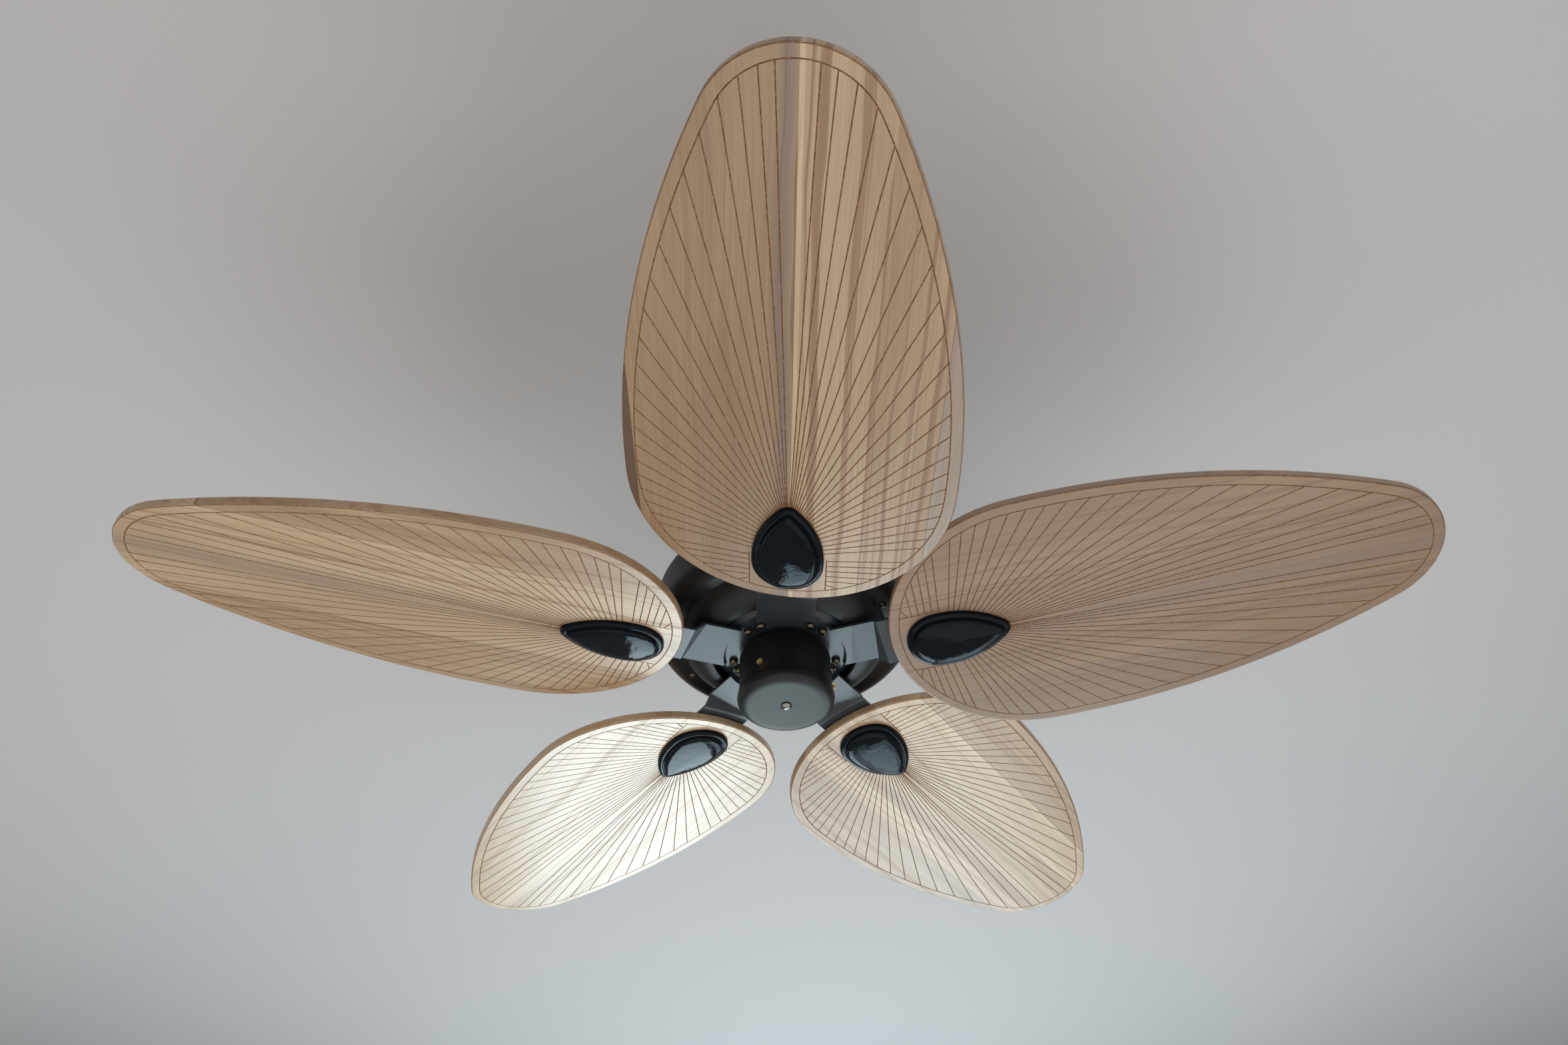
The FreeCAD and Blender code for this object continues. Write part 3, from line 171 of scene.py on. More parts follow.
ray = air.nodes.new("ShaderNodeLightPath")
seen = air.nodes.new("ShaderNodeMixShader")
air.links.new(ray.outputs["Is Camera Ray"], seen.inputs[0])
air.links.new(sky.outputs[0], seen.inputs[1])
air.links.new(backdrop.outputs[0], seen.inputs[2])
air.links.new(seen.outputs[0], air.nodes["World Output"].inputs["Surface"])
bpy.context.scene.world = world
bpy.context.scene.view_settings.view_transform = "Standard"

# Ceiling bracket and its fasteners: pressed steel with a thin bright zinc plate, hidden under the
# canopy, the green earth screw beside the slots, and the black nylon ball that sits in the cradle.
ZINC_COLOUR = (0.52, 0.52, 0.50, 1)
EARTH_GREEN = (0.02, 0.20, 0.06, 1)
NYLON_BLACK = (0.018, 0.018, 0.019, 1)
GRAIN_DETAIL = 3.0
CLOUD_DETAIL = 5.0
CLOUD_SHADES = (0.72, 1.28)
DUST_SLOPE = 0.55
DUST_COLOUR = (0.36, 0.34, 0.31, 1)


def speckle_group():
    """Shader group: fine grain, broad clouds and a film of dust on faces that look up."""
    group = bpy.data.node_groups.new("surface_speckle", "ShaderNodeTree")
    face = group.interface
    face.new_socket("Vector", in_out="INPUT", socket_type="NodeSocketVector")
    face.new_socket("Grain Scale", in_out="INPUT", socket_type="NodeSocketFloat")
    face.new_socket("Cloud Scale", in_out="INPUT", socket_type="NodeSocketFloat")
    for name in ("Grain", "Cloud", "Dust"):
        face.new_socket(name, in_out="OUTPUT", socket_type="NodeSocketFloat")
    start = group.nodes.new("NodeGroupInput")
    end = group.nodes.new("NodeGroupOutput")
    grain = group.nodes.new("ShaderNodeTexNoise")
    grain.inputs["Detail"].default_value = GRAIN_DETAIL
    cloud = group.nodes.new("ShaderNodeTexNoise")
    cloud.inputs["Detail"].default_value = CLOUD_DETAIL
    shape = group.nodes.new("ShaderNodeNewGeometry")
    parts = group.nodes.new("ShaderNodeSeparateXYZ")
    lying = group.nodes.new("ShaderNodeMapRange")
    lying.inputs["From Min"].default_value = DUST_SLOPE
    lying.inputs["From Max"].default_value = 1.0
    dust = group.nodes.new("ShaderNodeMath")
    dust.operation = "MULTIPLY"
    group.links.new(start.outputs["Vector"], grain.inputs["Vector"])
    group.links.new(start.outputs["Grain Scale"], grain.inputs["Scale"])
    group.links.new(start.outputs["Vector"], cloud.inputs["Vector"])
    group.links.new(start.outputs["Cloud Scale"], cloud.inputs["Scale"])
    group.links.new(shape.outputs["Normal"], parts.inputs[0])
    group.links.new(parts.outputs["Z"], lying.inputs["Value"])
    group.links.new(lying.outputs["Result"], dust.inputs[0])
    group.links.new(cloud.outputs["Fac"], dust.inputs[1])
    group.links.new(grain.outputs["Fac"], end.inputs["Grain"])
    group.links.new(cloud.outputs["Fac"], end.inputs["Cloud"])
    group.links.new(dust.outputs[0], end.inputs["Dust"])
    return group


speckle = speckle_group()


def coated(name, colour, roughness, metallic=0.0, grain=900.0, cloud=14.0, relief=0.00004, dust=0.25,
           spread=0.18, coat=0.0, specular=0.5):
    """Painted, plated or moulded finish: clouded colour and gloss, fine relief, dust on top."""
    finish = bpy.data.materials.new(name)
    finish.use_nodes = True
    tree = finish.node_tree
    shader = tree.nodes["Principled BSDF"]
    shader.inputs["Metallic"].default_value = metallic
    shader.inputs["Coat Weight"].default_value = coat
    shader.inputs["Specular IOR Level"].default_value = specular
    place = tree.nodes.new("ShaderNodeTexCoord")
    skin = tree.nodes.new("ShaderNodeGroup")
    skin.node_tree = speckle
    skin.inputs["Grain Scale"].default_value = grain
    skin.inputs["Cloud Scale"].default_value = cloud
    tree.links.new(place.outputs["Object"], skin.inputs["Vector"])
    tone = tree.nodes.new("ShaderNodeMix")
    tone.data_type = "RGBA"
    dark, light = CLOUD_SHADES
    tone.inputs["A"].default_value = [channel * dark for channel in colour[:3]] + [1]
    tone.inputs["B"].default_value = [min(1.0, channel * light) for channel in colour[:3]] + [1]
    tree.links.new(skin.outputs["Cloud"], tone.inputs["Factor"])
    film = tree.nodes.new("ShaderNodeMath")
    film.operation = "MULTIPLY"
    film.inputs[1].default_value = dust
    tree.links.new(skin.outputs["Dust"], film.inputs[0])
    dusted = tree.nodes.new("ShaderNodeMix")
    dusted.data_type = "RGBA"
    dusted.inputs["B"].default_value = DUST_COLOUR
    tree.links.new(film.outputs[0], dusted.inputs["Factor"])
    tree.links.new(tone.outputs["Result"], dusted.inputs["A"])
    tree.links.new(dusted.outputs["Result"], shader.inputs["Base Color"])
    gloss = tree.nodes.new("ShaderNodeMapRange")
    gloss.inputs["To Min"].default_value = roughness - spread / 2
    gloss.inputs["To Max"].default_value = roughness + spread / 2
    tree.links.new(skin.outputs["Cloud"], gloss.inputs["Value"])
    tree.links.new(gloss.outputs["Result"], shader.inputs["Roughness"])
    bump = tree.nodes.new("ShaderNodeBump")
    bump.inputs["Distance"].default_value = relief
    tree.links.new(skin.outputs["Grain"], bump.inputs["Height"])
    tree.links.new(bump.outputs["Normal"], shader.inputs["Normal"])
    return finish


def dress(finish, *names):
    """Gives one finish to CAD nodes that keep their own shape."""
    for name in names:
        nodes[name].data.materials.clear()
        nodes[name].data.materials.append(finish)


zinc = coated("zinc_plate", ZINC_COLOUR, 0.34, metallic=1.0, grain=500.0, cloud=30.0, dust=0.1)
dress(zinc, "hanger_bracket", "ball_pin", "ball_set_screw", "clevis_pin", "hitch_pin", "yoke_set_screws",
      "housing_plate", "housing_plate_screws", "shaft_nut", "cap_nut", "bell_screws")
dress(coated("earth_screw_green", EARTH_GREEN, 0.4, metallic=0.3), "ground_screw")
dress(coated("ball_nylon", NYLON_BLACK, 0.48), "hanger_ball")

# Canopy, downrod, coupling cover, motor housing and switch housing: spun and drawn steel under one
# black powder coat, matte with the fine pebble of the powder.
COAT_BLACK = (0.0065, 0.0065, 0.0070, 1)
coat_black = coated("black_powder_coat", COAT_BLACK, 0.42, grain=1300.0, cloud=9.0, relief=0.00003,
                    dust=0.22, spread=0.12, specular=0.29)
dress(coat_black, "canopy", "canopy_screws", "downrod", "coupling_cover", "upper_housing",
      "lower_housing", "switch_cup", "switch_cap")

# Yoke and motor: a cast collar above the housing, the turning upper bell of cast alloy painted black,
# and inside the bells laminations, copper windings, races and the ground shaft.
CAST_COLOUR = (0.42, 0.42, 0.43, 1)
BELL_BLACK = (0.02, 0.02, 0.022, 1)
STEEL_COLOUR = (0.58, 0.58, 0.58, 1)
LAMINATION_COLOUR = (0.17, 0.17, 0.18, 1)
COPPER_COLOUR = (0.58, 0.22, 0.09, 1)
dress(coated("cast_alloy", CAST_COLOUR, 0.46, metallic=1.0, grain=420.0, relief=0.00012), "motor_yoke")
dress(coated("bell_paint", BELL_BLACK, 0.38, grain=900.0, relief=0.00003), "upper_bell")
dress(coated("ground_steel", STEEL_COLOUR, 0.2, metallic=1.0, grain=1600.0, relief=0.00001),
      "motor_shaft", "lower_bearing_inner", "upper_bearing_inner", "lower_bearing_outer",
      "upper_bearing_outer")
dress(coated("lamination_stack", LAMINATION_COLOUR, 0.45, metallic=0.8), "stator_core", "rotor_ring")
dress(coated("copper_wire", COPPER_COLOUR, 0.3, metallic=1.0, grain=700.0, relief=0.0002),
      "stator_windings")

# Switch gear inside the cup: a run capacitor, the reversing switch and its sliding knob, all in
# plain black moulded plastic.
PLASTIC_BLACK = (0.02, 0.02, 0.021, 1)
plastic_black = coated("moulded_plastic", PLASTIC_BLACK, 0.4, grain=1100.0, relief=0.00002, dust=0.1)
dress(plastic_black, "capacitor", "reverse_switch", "reverse_knob")

# Plug screw in the middle of the bottom cap and the screws that come down through the blades: nickel
# plated, with low polished domes; the blade screws' washers and the housing's screws are black oxide.
NICKEL_COLOUR = (0.21, 0.20, 0.18, 1)
OXIDE_COLOUR = (0.07, 0.066, 0.06, 1)
nickel = coated("nickel_plate", NICKEL_COLOUR, 0.24, metallic=1.0, grain=900.0, cloud=60.0,
                relief=0.00001, dust=0.05, spread=0.1)
dress(nickel, "cap_screw", "blade_screws")
oxide = coated("black_oxide", OXIDE_COLOUR, 0.36, metallic=0.9)
dress(oxide, "blade_washers", "housing_screws")

# Blade irons: pressed steel plates bent down from the motor to the blades, in a smoother satin black
# that takes a cool sheen on its flats; the faint blue cast in the black is painted sheen of the window.
# The lower bell that they are screwed to has the same paint.
# Satin black with a faint blue cast: the cast is painted sheen, not the paint's own colour.
IRON_BLACK_WITH_PAINTED_SHEEN = (0.020, 0.026, 0.032, 1)
BLADE_COUNT = 5
iron_paint = coated("iron_satin_black", IRON_BLACK_WITH_PAINTED_SHEEN, 0.38, grain=1500.0, cloud=11.0, relief=0.00002,
                    dust=0.2, spread=0.1, coat=0.12, specular=0.38)
dress(iron_paint, "lower_bell", *["blade_iron_" + str(number + 1) for number in range(BLADE_COUNT)])

# Blades: broad leaves cut from edge-glued boards of pale wood, with rounded edges, a border line and
# fanned ribs carved in the underside, stained brown in the cuts and lacquered satin.
BLADE_ROOT = 0.118
BLADE_TIP = 0.6604
BLADE_ROOT_R = 0.150
BLADE_TIP_R = 0.077
BLADE_SIDE_R = 0.760
BLADE_THICKNESS = 0.0095
BLADE_EDGE_R = 0.0019
EDGE_SEGMENTS = 4
BLADE_SMOOTH = math.radians(32)
BLADE_LEVEL = -0.47453
BLADE_PITCH = math.radians(8.44)
FIRST_BLADE = math.radians(-90)
SIDE_STEPS = 36
TIP_STEPS = 28
ROOT_STEPS = 44
WELD = 1e-5
LEVEL = 1e-6
FLAT = 0.99
SLOPED = 0.95
BORDER_INSET = 0.011
CARVED_WIDTH = 0.0011
CARVED_DEPTH = 0.0006
BAR_STAND = 0.00008
FAN_RIBS = 22
RIBS_SKIPPED = 2
RIBS_SPARED = 5
RIB_POWER = 1.2
RIB_EVEN = 0.45
RIB_BUNCHED = 0.55
STEEPEST_RIB = math.radians(88)
RIB_FOCUS = 0.208
FOCUS_DRIFT = 0.040
RIB_START = 0.033
RIB_NEARING = 0.010
WINDOW_HALF = 0.0375
WINDOW_CORNER = 0.1425
WINDOW_END = 0.178
FOOT_STEP = 0.00023
BASE_RIBS = 5
BASE_GAP = 0.0070
BASE_FIRST = 0.7
BASE_LEAN = math.radians(88)
BASE_FAN = math.radians(1.3)
CORNER_LEAN = math.radians(112)
STAIN_DARK = (0.150, 0.070, 0.030, 1)
STAIN_LIGHT = (0.290, 0.160, 0.082, 1)
STAIN_BREAKS = (0.38, 0.66)
STAIN_SCALE = 320.0
STAIN_DETAIL = 4.0
STAIN_ROUGHNESS = 0.7
STAIN_SPECULAR = 0.1


def blade_turn(number):
    """Angle of one blade about the fan's axis."""
    return FIRST_BLADE + number * 2 * math.pi / BLADE_COUNT


def side_arc(span, root_r, tip_r, side_r):
    """Centre of a leaf's side arc from the root's centre, and its angles at the root and the tip."""
    x = ((side_r - root_r) ** 2 - (side_r - tip_r) ** 2 + span ** 2) / (2 * span)
    y = math.sqrt((side_r - root_r) ** 2 - x ** 2)
    return x, y, math.atan2(y, -x), math.atan2(y, span - x)


def draw_leaf(name, root, tip, root_r, tip_r, side_r):
    """Leaf outline along X: one point spun through two side arcs, the tip and the root."""
    near = root + root_r
    far = tip - tip_r
    x, y, low, high = side_arc(far - near, root_r, tip_r, side_r)
    bpy.ops.object.select_all(action="DESELECT")
    start = (near + root_r * math.cos(low), root_r * math.sin(low), 0)
    bpy.ops.mesh.primitive_plane_add(size=root_r, location=start)
    leaf = bpy.context.object
    leaf.name = name
    bpy.ops.object.transform_apply(location=True)
    bpy.ops.object.mode_set(mode="EDIT")
    bpy.ops.mesh.select_mode(type="VERT")
    bpy.ops.mesh.select_all(action="SELECT")
    bpy.ops.mesh.merge(type="CENTER")
    arcs = ((low - high, (near + x, -y, 0), SIDE_STEPS), (2 * high, (far, 0, 0), TIP_STEPS),
            (low - high, (near + x, y, 0), SIDE_STEPS),
            (2 * math.pi - 2 * low, (near, 0, 0), ROOT_STEPS))
    for turn, centre, steps in arcs:
        bpy.ops.mesh.spin(steps=steps, angle=turn, center=centre, axis=(0, 0, 1))
    bpy.ops.mesh.select_all(action="SELECT")
    bpy.ops.mesh.remove_doubles(threshold=WELD)
    return leaf


def pick_edges(piece, wanted):
    """Selects in edit mode the edges that a test on their two end points picks."""
    bpy.ops.mesh.select_mode(type="EDGE")
    bpy.ops.mesh.select_all(action="DESELECT")
    mesh = bmesh.from_edit_mesh(piece.data)
    for edge in mesh.edges:
        edge.select_set(wanted(edge.verts[0].co, edge.verts[1].co))
    mesh.select_flush_mode()
    bmesh.update_edit_mesh(piece.data)


def pick_faces(piece, wanted):
    """Selects in edit mode the faces that a test on their centre and normal picks."""
    bpy.ops.mesh.select_mode(type="FACE")
    bpy.ops.mesh.select_all(action="DESELECT")
    mesh = bmesh.from_edit_mesh(piece.data)
    for face in mesh.faces:
        face.select_set(wanted(face.calc_center_median(), face.normal))
    mesh.select_flush_mode()
    bmesh.update_edit_mesh(piece.data)


def carve_border(board):
    """Sinks the border line of the underside: three insets of the face that looks down."""
    pick_faces(board, lambda centre, normal: normal.z < -FLAT)
    bpy.ops.mesh.inset(thickness=BORDER_INSET - BLADE_EDGE_R - CARVED_WIDTH / 2)
    for depth in (-CARVED_DEPTH, CARVED_DEPTH):
        bpy.ops.mesh.inset(thickness=CARVED_WIDTH / 2, depth=depth)
    pick_faces(board, lambda centre, normal: 0 < centre.z < CARVED_DEPTH and abs(normal.z) < SLOPED)
    board.active_material_index = 1
    bpy.ops.object.material_slot_assign()


def border_arcs():
    """Centre, radius and angles of the arcs that bound the carving on one side of a blade."""
    near = BLADE_ROOT + BLADE_ROOT_R
    far = BLADE_TIP - BLADE_TIP_R
    root_r = BLADE_ROOT_R - BORDER_INSET
    tip_r = BLADE_TIP_R - BORDER_INSET
    side_r = BLADE_SIDE_R - BORDER_INSET
    x, y, low, high = side_arc(far - near, root_r, tip_r, side_r)
    return [(Vector((near, 0)), root_r, low, math.pi), (Vector((near + x, -y)), side_r, high, low),
            (Vector((far, 0)), tip_r, 0.0, high)]


def to_border(start, angle):
    """Line from a point inside the border to the border, at an angle to the blade's axis."""
    way = Vector((math.cos(angle), math.sin(angle)))
    for centre, radius, first, last in border_arcs():
        off = start - centre
        reach = math.sqrt(off.dot(way) ** 2 - off.length_squared + radius ** 2) - off.dot(way)
        end = start + way * reach
        if first <= math.atan2(end.y - centre.y, end.x - centre.x) <= last:
            return start, end
    raise ValueError("a rib misses the border")


def fan_lines():
    """Ribs of one side: a fan from under the medallion, upright base ribs and a corner line."""
    lines = []
    for number in range(FAN_RIBS):
        share = ((number + RIBS_SKIPPED) / (FAN_RIBS + RIBS_SPARED)) ** RIB_POWER
        angle = STEEPEST_RIB * (RIB_EVEN * share + RIB_BUNCHED * (3 * share ** 2 - 2 * share ** 3))
        way = Vector((math.cos(angle), math.sin(angle)))
        focus = Vector((RIB_FOCUS - FOCUS_DRIFT * (angle / STEEPEST_RIB) ** 2, 0))
        lines.append(to_border(focus + way * (RIB_START - RIB_NEARING * angle), angle))
    for number in range(BASE_RIBS):
        foot = Vector((WINDOW_CORNER + BASE_GAP * (number + BASE_FIRST), WINDOW_HALF + FOOT_STEP))
        lines.append(to_border(foot, BASE_LEAN - BASE_FAN * number))
    lines.append(to_border(Vector((WINDOW_CORNER, WINDOW_HALF + FOOT_STEP)), CORNER_LEAN))
    return lines


def cut_lines(board, lines, stain):
    """Cuts one carved line along each pair of points on both sides, by bars laid on edge."""
    bpy.ops.object.select_all(action="DESELECT")
    width = (CARVED_WIDTH + 2 * BAR_STAND) / math.sqrt(2)
    bpy.ops.mesh.primitive_cube_add(size=width, location=(BLADE_TIP, BLADE_ROOT_R, BLADE_THICKNESS * 2))
    bars = bpy.context.object
    bpy.ops.object.transform_apply(location=True)
    bars.data.materials.append(stain)
    bpy.ops.object.mode_set(mode="EDIT")
    for side in (-1, 1):
        for start, end in lines:
            way = end - start
            middle = (start + end) / 2
            bpy.ops.mesh.primitive_cube_add(size=1, location=(middle.x, side * middle.y, -BAR_STAND),
                                            rotation=(math.pi / 4, 0, side * math.atan2(way.y, way.x)),
                                            scale=(way.length, width, width))
    bpy.ops.object.mode_set(mode="OBJECT")
    cut = board.modifiers.new("carving", "BOOLEAN")
    cut.object = bars
    cut.solver = "EXACT"
    cut.material_mode = "TRANSFER"
    bpy.context.view_layer.objects.active = board
    bpy.ops.object.modifier_apply(modifier="carving")
    bpy.data.objects.remove(bars)


def stain_finish():
    """Brown stain in the carved lines, broken up where the wood's pores take less of it."""
    finish = bpy.data.materials.new("carved_line_stain")
    finish.use_nodes = True
    tree = finish.node_tree
    shader = tree.nodes["Principled BSDF"]
    shader.inputs["Roughness"].default_value = STAIN_ROUGHNESS
    shader.inputs["Specular IOR Level"].default_value = STAIN_SPECULAR
    place = tree.nodes.new("ShaderNodeTexCoord")
    pores = tree.nodes.new("ShaderNodeTexNoise")
    pores.inputs["Scale"].default_value = STAIN_SCALE
    pores.inputs["Detail"].default_value = STAIN_DETAIL
    ramp = tree.nodes.new("ShaderNodeValToRGB")
    for index, colour in enumerate((STAIN_DARK, STAIN_LIGHT)):
        ramp.color_ramp.elements[index].position = STAIN_BREAKS[index]
        ramp.color_ramp.elements[index].color = colour
    tree.links.new(place.outputs["Object"], pores.inputs["Vector"])
    tree.links.new(pores.outputs["Fac"], ramp.inputs["Fac"])
    tree.links.new(ramp.outputs["Color"], shader.inputs["Base Color"])
    return finish


# Wood of the boards: growth lines, patches, fibres and pores drawn out along the grain, which sways a
# little, over a tone from brown heartwood to pale sapwood; the lacquer is satin.
NOISE_ROUGHNESS = 0.6
GRAIN_SWAY = 0.012
SWAY_STRETCH = (3.2, 9.0, 9.0)
BOARD_SHIFT = (3.7, 1.3, 2.1)
LINE_STRETCH = (0.55, 165.0, 70.0)
LINE_LIMITS = (0.51, 0.62)
LINE_SHADE = (0.60, 0.47, 0.37, 1)
PATCH_STRETCH = (2.4, 15.0, 10.0)
PATCH_LIMITS = (0.38, 0.64)
PATCH_SHADE = (0.80, 0.73, 0.66, 1)
PATCH_STRENGTH = 0.8
FIBRE_STRETCH = (9.0, 640.0, 640.0)
FIBRE_DARK = (0.70, 0.67, 0.64, 1)
FIBRE_LIGHT = (1.30, 1.33, 1.36, 1)
FIBRE_RELIEF = 0.00006
PORE_STRETCH = (55.0, 1500.0, 1500.0)
PORE_LIMITS = (0.60, 0.74)
PORE_COLOUR = (0.190, 0.108, 0.060, 1)
PORE_STRENGTH = 0.42
HEARTWOOD = (0.085, 0.042, 0.024, 1)
BROWN_WOOD = (0.245, 0.145, 0.075, 1)
TAN_WOOD = (0.370, 0.243, 0.138, 1)
SAPWOOD = (0.560, 0.415, 0.270, 1)
HEART_COLOUR = (0.165, 0.108, 0.090, 1)
HEART_LIMITS = (0.25, 0.62)
GREY_WOOD = (0.285, 0.218, 0.178, 1)
WOOD_ROUGHNESS = (0.34, 0.50)
LACQUER_WEIGHT = 0.55
LACQUER_ROUGHNESS = 0.27


def noise_along(group, source, stretch, detail):
    """Noise drawn out along the board: its scale along and across the grain is given."""
    pull = group.nodes.new("ShaderNodeMapping")
    pull.inputs["Scale"].default_value = stretch
    noise = group.nodes.new("ShaderNodeTexNoise")
    noise.inputs["Scale"].default_value = 1.0
    noise.inputs["Detail"].default_value = detail
    noise.inputs["Roughness"].default_value = NOISE_ROUGHNESS
    group.links.new(source, pull.inputs["Vector"])
    group.links.new(pull.outputs["Vector"], noise.inputs["Vector"])
    return noise.outputs["Fac"]


def ramp_of(group, value, low, high):
    """Soft step of a value between two limits."""
    step = group.nodes.new("ShaderNodeMapRange")
    step.interpolation_type = "SMOOTHSTEP"
    step.inputs["From Min"].default_value = low
    step.inputs["From Max"].default_value = high
    group.links.new(value, step.inputs["Value"])
    return step.outputs["Result"]


def tint(group, factor, first, second):
    """Colour mix; each colour is a socket or a fixed value."""
    mix = group.nodes.new("ShaderNodeMix")
    mix.data_type = "RGBA"
    for name, colour in (("A", first), ("B", second)):
        if isinstance(colour, tuple):
            mix.inputs[name].default_value = colour
        else:
            group.links.new(colour, mix.inputs[name])
    group.links.new(factor, mix.inputs["Factor"])
    return mix.outputs["Result"]


def multiply(group, first, second):
    """Product of a value and another value, which is a socket or a number."""
    product = group.nodes.new("ShaderNodeMath")
    product.operation = "MULTIPLY"
    group.links.new(first, product.inputs[0])
    if isinstance(second, float):
        product.inputs[1].default_value = second
    else:
        group.links.new(second, product.inputs[1])
    return product.outputs[0]


def shade(group, colour, factor):
    """Colour multiplied by another colour, which is a socket or a fixed value."""
    mix = group.nodes.new("ShaderNodeMix")
    mix.data_type = "RGBA"
    mix.blend_type = "MULTIPLY"
    mix.inputs["Factor"].default_value = 1.0
    group.links.new(colour, mix.inputs["A"])
    if isinstance(factor, tuple):
        mix.inputs["B"].default_value = factor
    else:
        group.links.new(factor, mix.inputs["B"])
    return mix.outputs["Result"]


def board_wood_group():
    """Shader group: straight-grained pale wood with growth lines, fibres, pores and a heart streak."""
    group = bpy.data.node_groups.new("board_wood", "ShaderNodeTree")
    face = group.interface
    face.new_socket("Vector", in_out="INPUT", socket_type="NodeSocketVector")
    for name in ("Board", "Grey", "Lines", "Heart Place", "Heart Width", "Heart"):
        face.new_socket(name, in_out="INPUT", socket_type="NodeSocketFloat")
    face.new_socket("Color", in_out="OUTPUT", socket_type="NodeSocketColor")
    face.new_socket("Gloss", in_out="OUTPUT", socket_type="NodeSocketFloat")
    face.new_socket("Height", in_out="OUTPUT", socket_type="NodeSocketFloat")
    start = group.nodes.new("NodeGroupInput")
    end = group.nodes.new("NodeGroupOutput")
    board = start.outputs["Board"]
    wander = noise_along(group, start.outputs["Vector"], SWAY_STRETCH, 2.0)
    sway = group.nodes.new("ShaderNodeMapRange")
    sway.inputs["To Min"].default_value = -GRAIN_SWAY
    sway.inputs["To Max"].default_value = GRAIN_SWAY
    group.links.new(wander, sway.inputs["Value"])
    sideways = group.nodes.new("ShaderNodeCombineXYZ")
    group.links.new(sway.outputs["Result"], sideways.inputs["Y"])
    swayed = group.nodes.new("ShaderNodeVectorMath")
    group.links.new(start.outputs["Vector"], swayed.inputs[0])
    group.links.new(sideways.outputs[0], swayed.inputs[1])
    shift = group.nodes.new("ShaderNodeVectorMath")
    shift.operation = "MULTIPLY_ADD"
    shift.inputs[1].default_value = BOARD_SHIFT
    group.links.new(board, shift.inputs[0])
    group.links.new(swayed.outputs["Vector"], shift.inputs[2])
    grain = shift.outputs["Vector"]
    lines = ramp_of(group, noise_along(group, grain, LINE_STRETCH, 3.0), *LINE_LIMITS)
    patches = ramp_of(group, noise_along(group, grain, PATCH_STRETCH, 2.0), *PATCH_LIMITS)
    fibres = noise_along(group, grain, FIBRE_STRETCH, 4.0)
    pores = ramp_of(group, noise_along(group, grain, PORE_STRETCH, 2.0), *PORE_LIMITS)
    tones = group.nodes.new("ShaderNodeValToRGB")
    tones.color_ramp.elements[0].color = HEARTWOOD
    tones.color_ramp.elements[1].color = SAPWOOD
    for place, colour in ((0.3, BROWN_WOOD), (0.6, TAN_WOOD)):
        tones.color_ramp.elements.new(place).color = colour
    group.links.new(board, tones.inputs["Fac"])
    pale = tones.outputs["Color"]
    patched = tint(group, multiply(group, patches, PATCH_STRENGTH), pale,
                   shade(group, pale, PATCH_SHADE))
    lined = tint(group, multiply(group, lines, start.outputs["Lines"]), patched,
                 shade(group, pale, LINE_SHADE))
    parts = group.nodes.new("ShaderNodeSeparateXYZ")
    group.links.new(swayed.outputs["Vector"], parts.inputs[0])
    off = group.nodes.new("ShaderNodeMath")
    off.operation = "SUBTRACT"
    group.links.new(parts.outputs["Y"], off.inputs[0])
    group.links.new(start.outputs["Heart Place"], off.inputs[1])
    away = group.nodes.new("ShaderNodeMath")
    away.operation = "ABSOLUTE"
    group.links.new(off.outputs[0], away.inputs[0])
    band = group.nodes.new("ShaderNodeMapRange")
    band.interpolation_type = "SMOOTHSTEP"
    band.inputs["From Min"].default_value = 0.0
    band.inputs["To Min"].default_value = 1.0
    band.inputs["To Max"].default_value = 0.0
    group.links.new(away.outputs[0], band.inputs["Value"])
    group.links.new(start.outputs["Heart Width"], band.inputs["From Max"])
    heart = multiply(group, multiply(group, band.outputs["Result"], start.outputs["Heart"]),
                     ramp_of(group, fibres, *HEART_LIMITS))
    hearted = tint(group, heart, lined, HEART_COLOUR)
    greyed = tint(group, start.outputs["Grey"], hearted, GREY_WOOD)
    fibre_tone = tint(group, fibres, FIBRE_DARK, FIBRE_LIGHT)
    flecked = tint(group, multiply(group, pores, PORE_STRENGTH), shade(group, greyed, fibre_tone),
                   PORE_COLOUR)
    group.links.new(flecked, end.inputs["Color"])
    group.links.new(lines, end.inputs["Gloss"])
    group.links.new(fibres, end.inputs["Height"])
    return group


board_wood = board_wood_group()

# Boards of each blade from one edge to the other: where a board ends across the blade, its tone from
# 0, brown heartwood, to 1, pale sapwood, how grey it is and how strong its growth lines are; then the
# heart streak's place, half-width and strength. The tones are partly the wood's own and partly painted
# light: the fourth blade's boards are painted paler for the window's sheen on it, and the second
# blade's are painted darker for the shade it lies in.
BOARDS_WITH_PAINTED_LIGHT = [
    [(-0.141, 0.06, 0.0, 0.3), (-0.100, 0.50, 0.0, 0.25), (-0.013, 0.42, 0.0, 0.25),
     (0.001, 0.40, 0.0, 0.9), (0.005, 0.96, 0.0, 0.0), (0.070, 0.66, 0.0, 1.0),
     (0.126, 0.57, 0.0, 0.95), (0.1275, 0.16, 0.3, 0.0), (0.150, 0.44, 0.7, 0.2)],
    [(-0.0535, 0.34, 0.24, 0.6), (-0.0520, 0.08, 0.1, 0.0), (0.018, 0.29, 0.30, 0.6),
     (0.074, 0.33, 0.22, 0.7), (0.150, 0.26, 0.30, 0.5)],
    [(-0.086, 0.70, 0.0, 0.4), (-0.038, 0.96, 0.0, 0.4), (0.068, 0.82, 0.0, 0.35),
     (0.150, 0.60, 0.05, 0.4)],
    [(-0.094, 0.94, 0.0, 0.3), (-0.020, 0.90, 0.0, 0.25), (0.058, 1.00, 0.0, 0.3),
     (0.150, 0.86, 0.0, 0.25)],
    [(-0.0655, 0.74, 0.0, 0.7), (-0.0640, 0.14, 0.0, 0.0), (0.0840, 0.84, 0.0, 0.9),
     (0.0855, 0.38, 0.0, 0.0), (0.150, 0.68, 0.05, 0.6)],
]
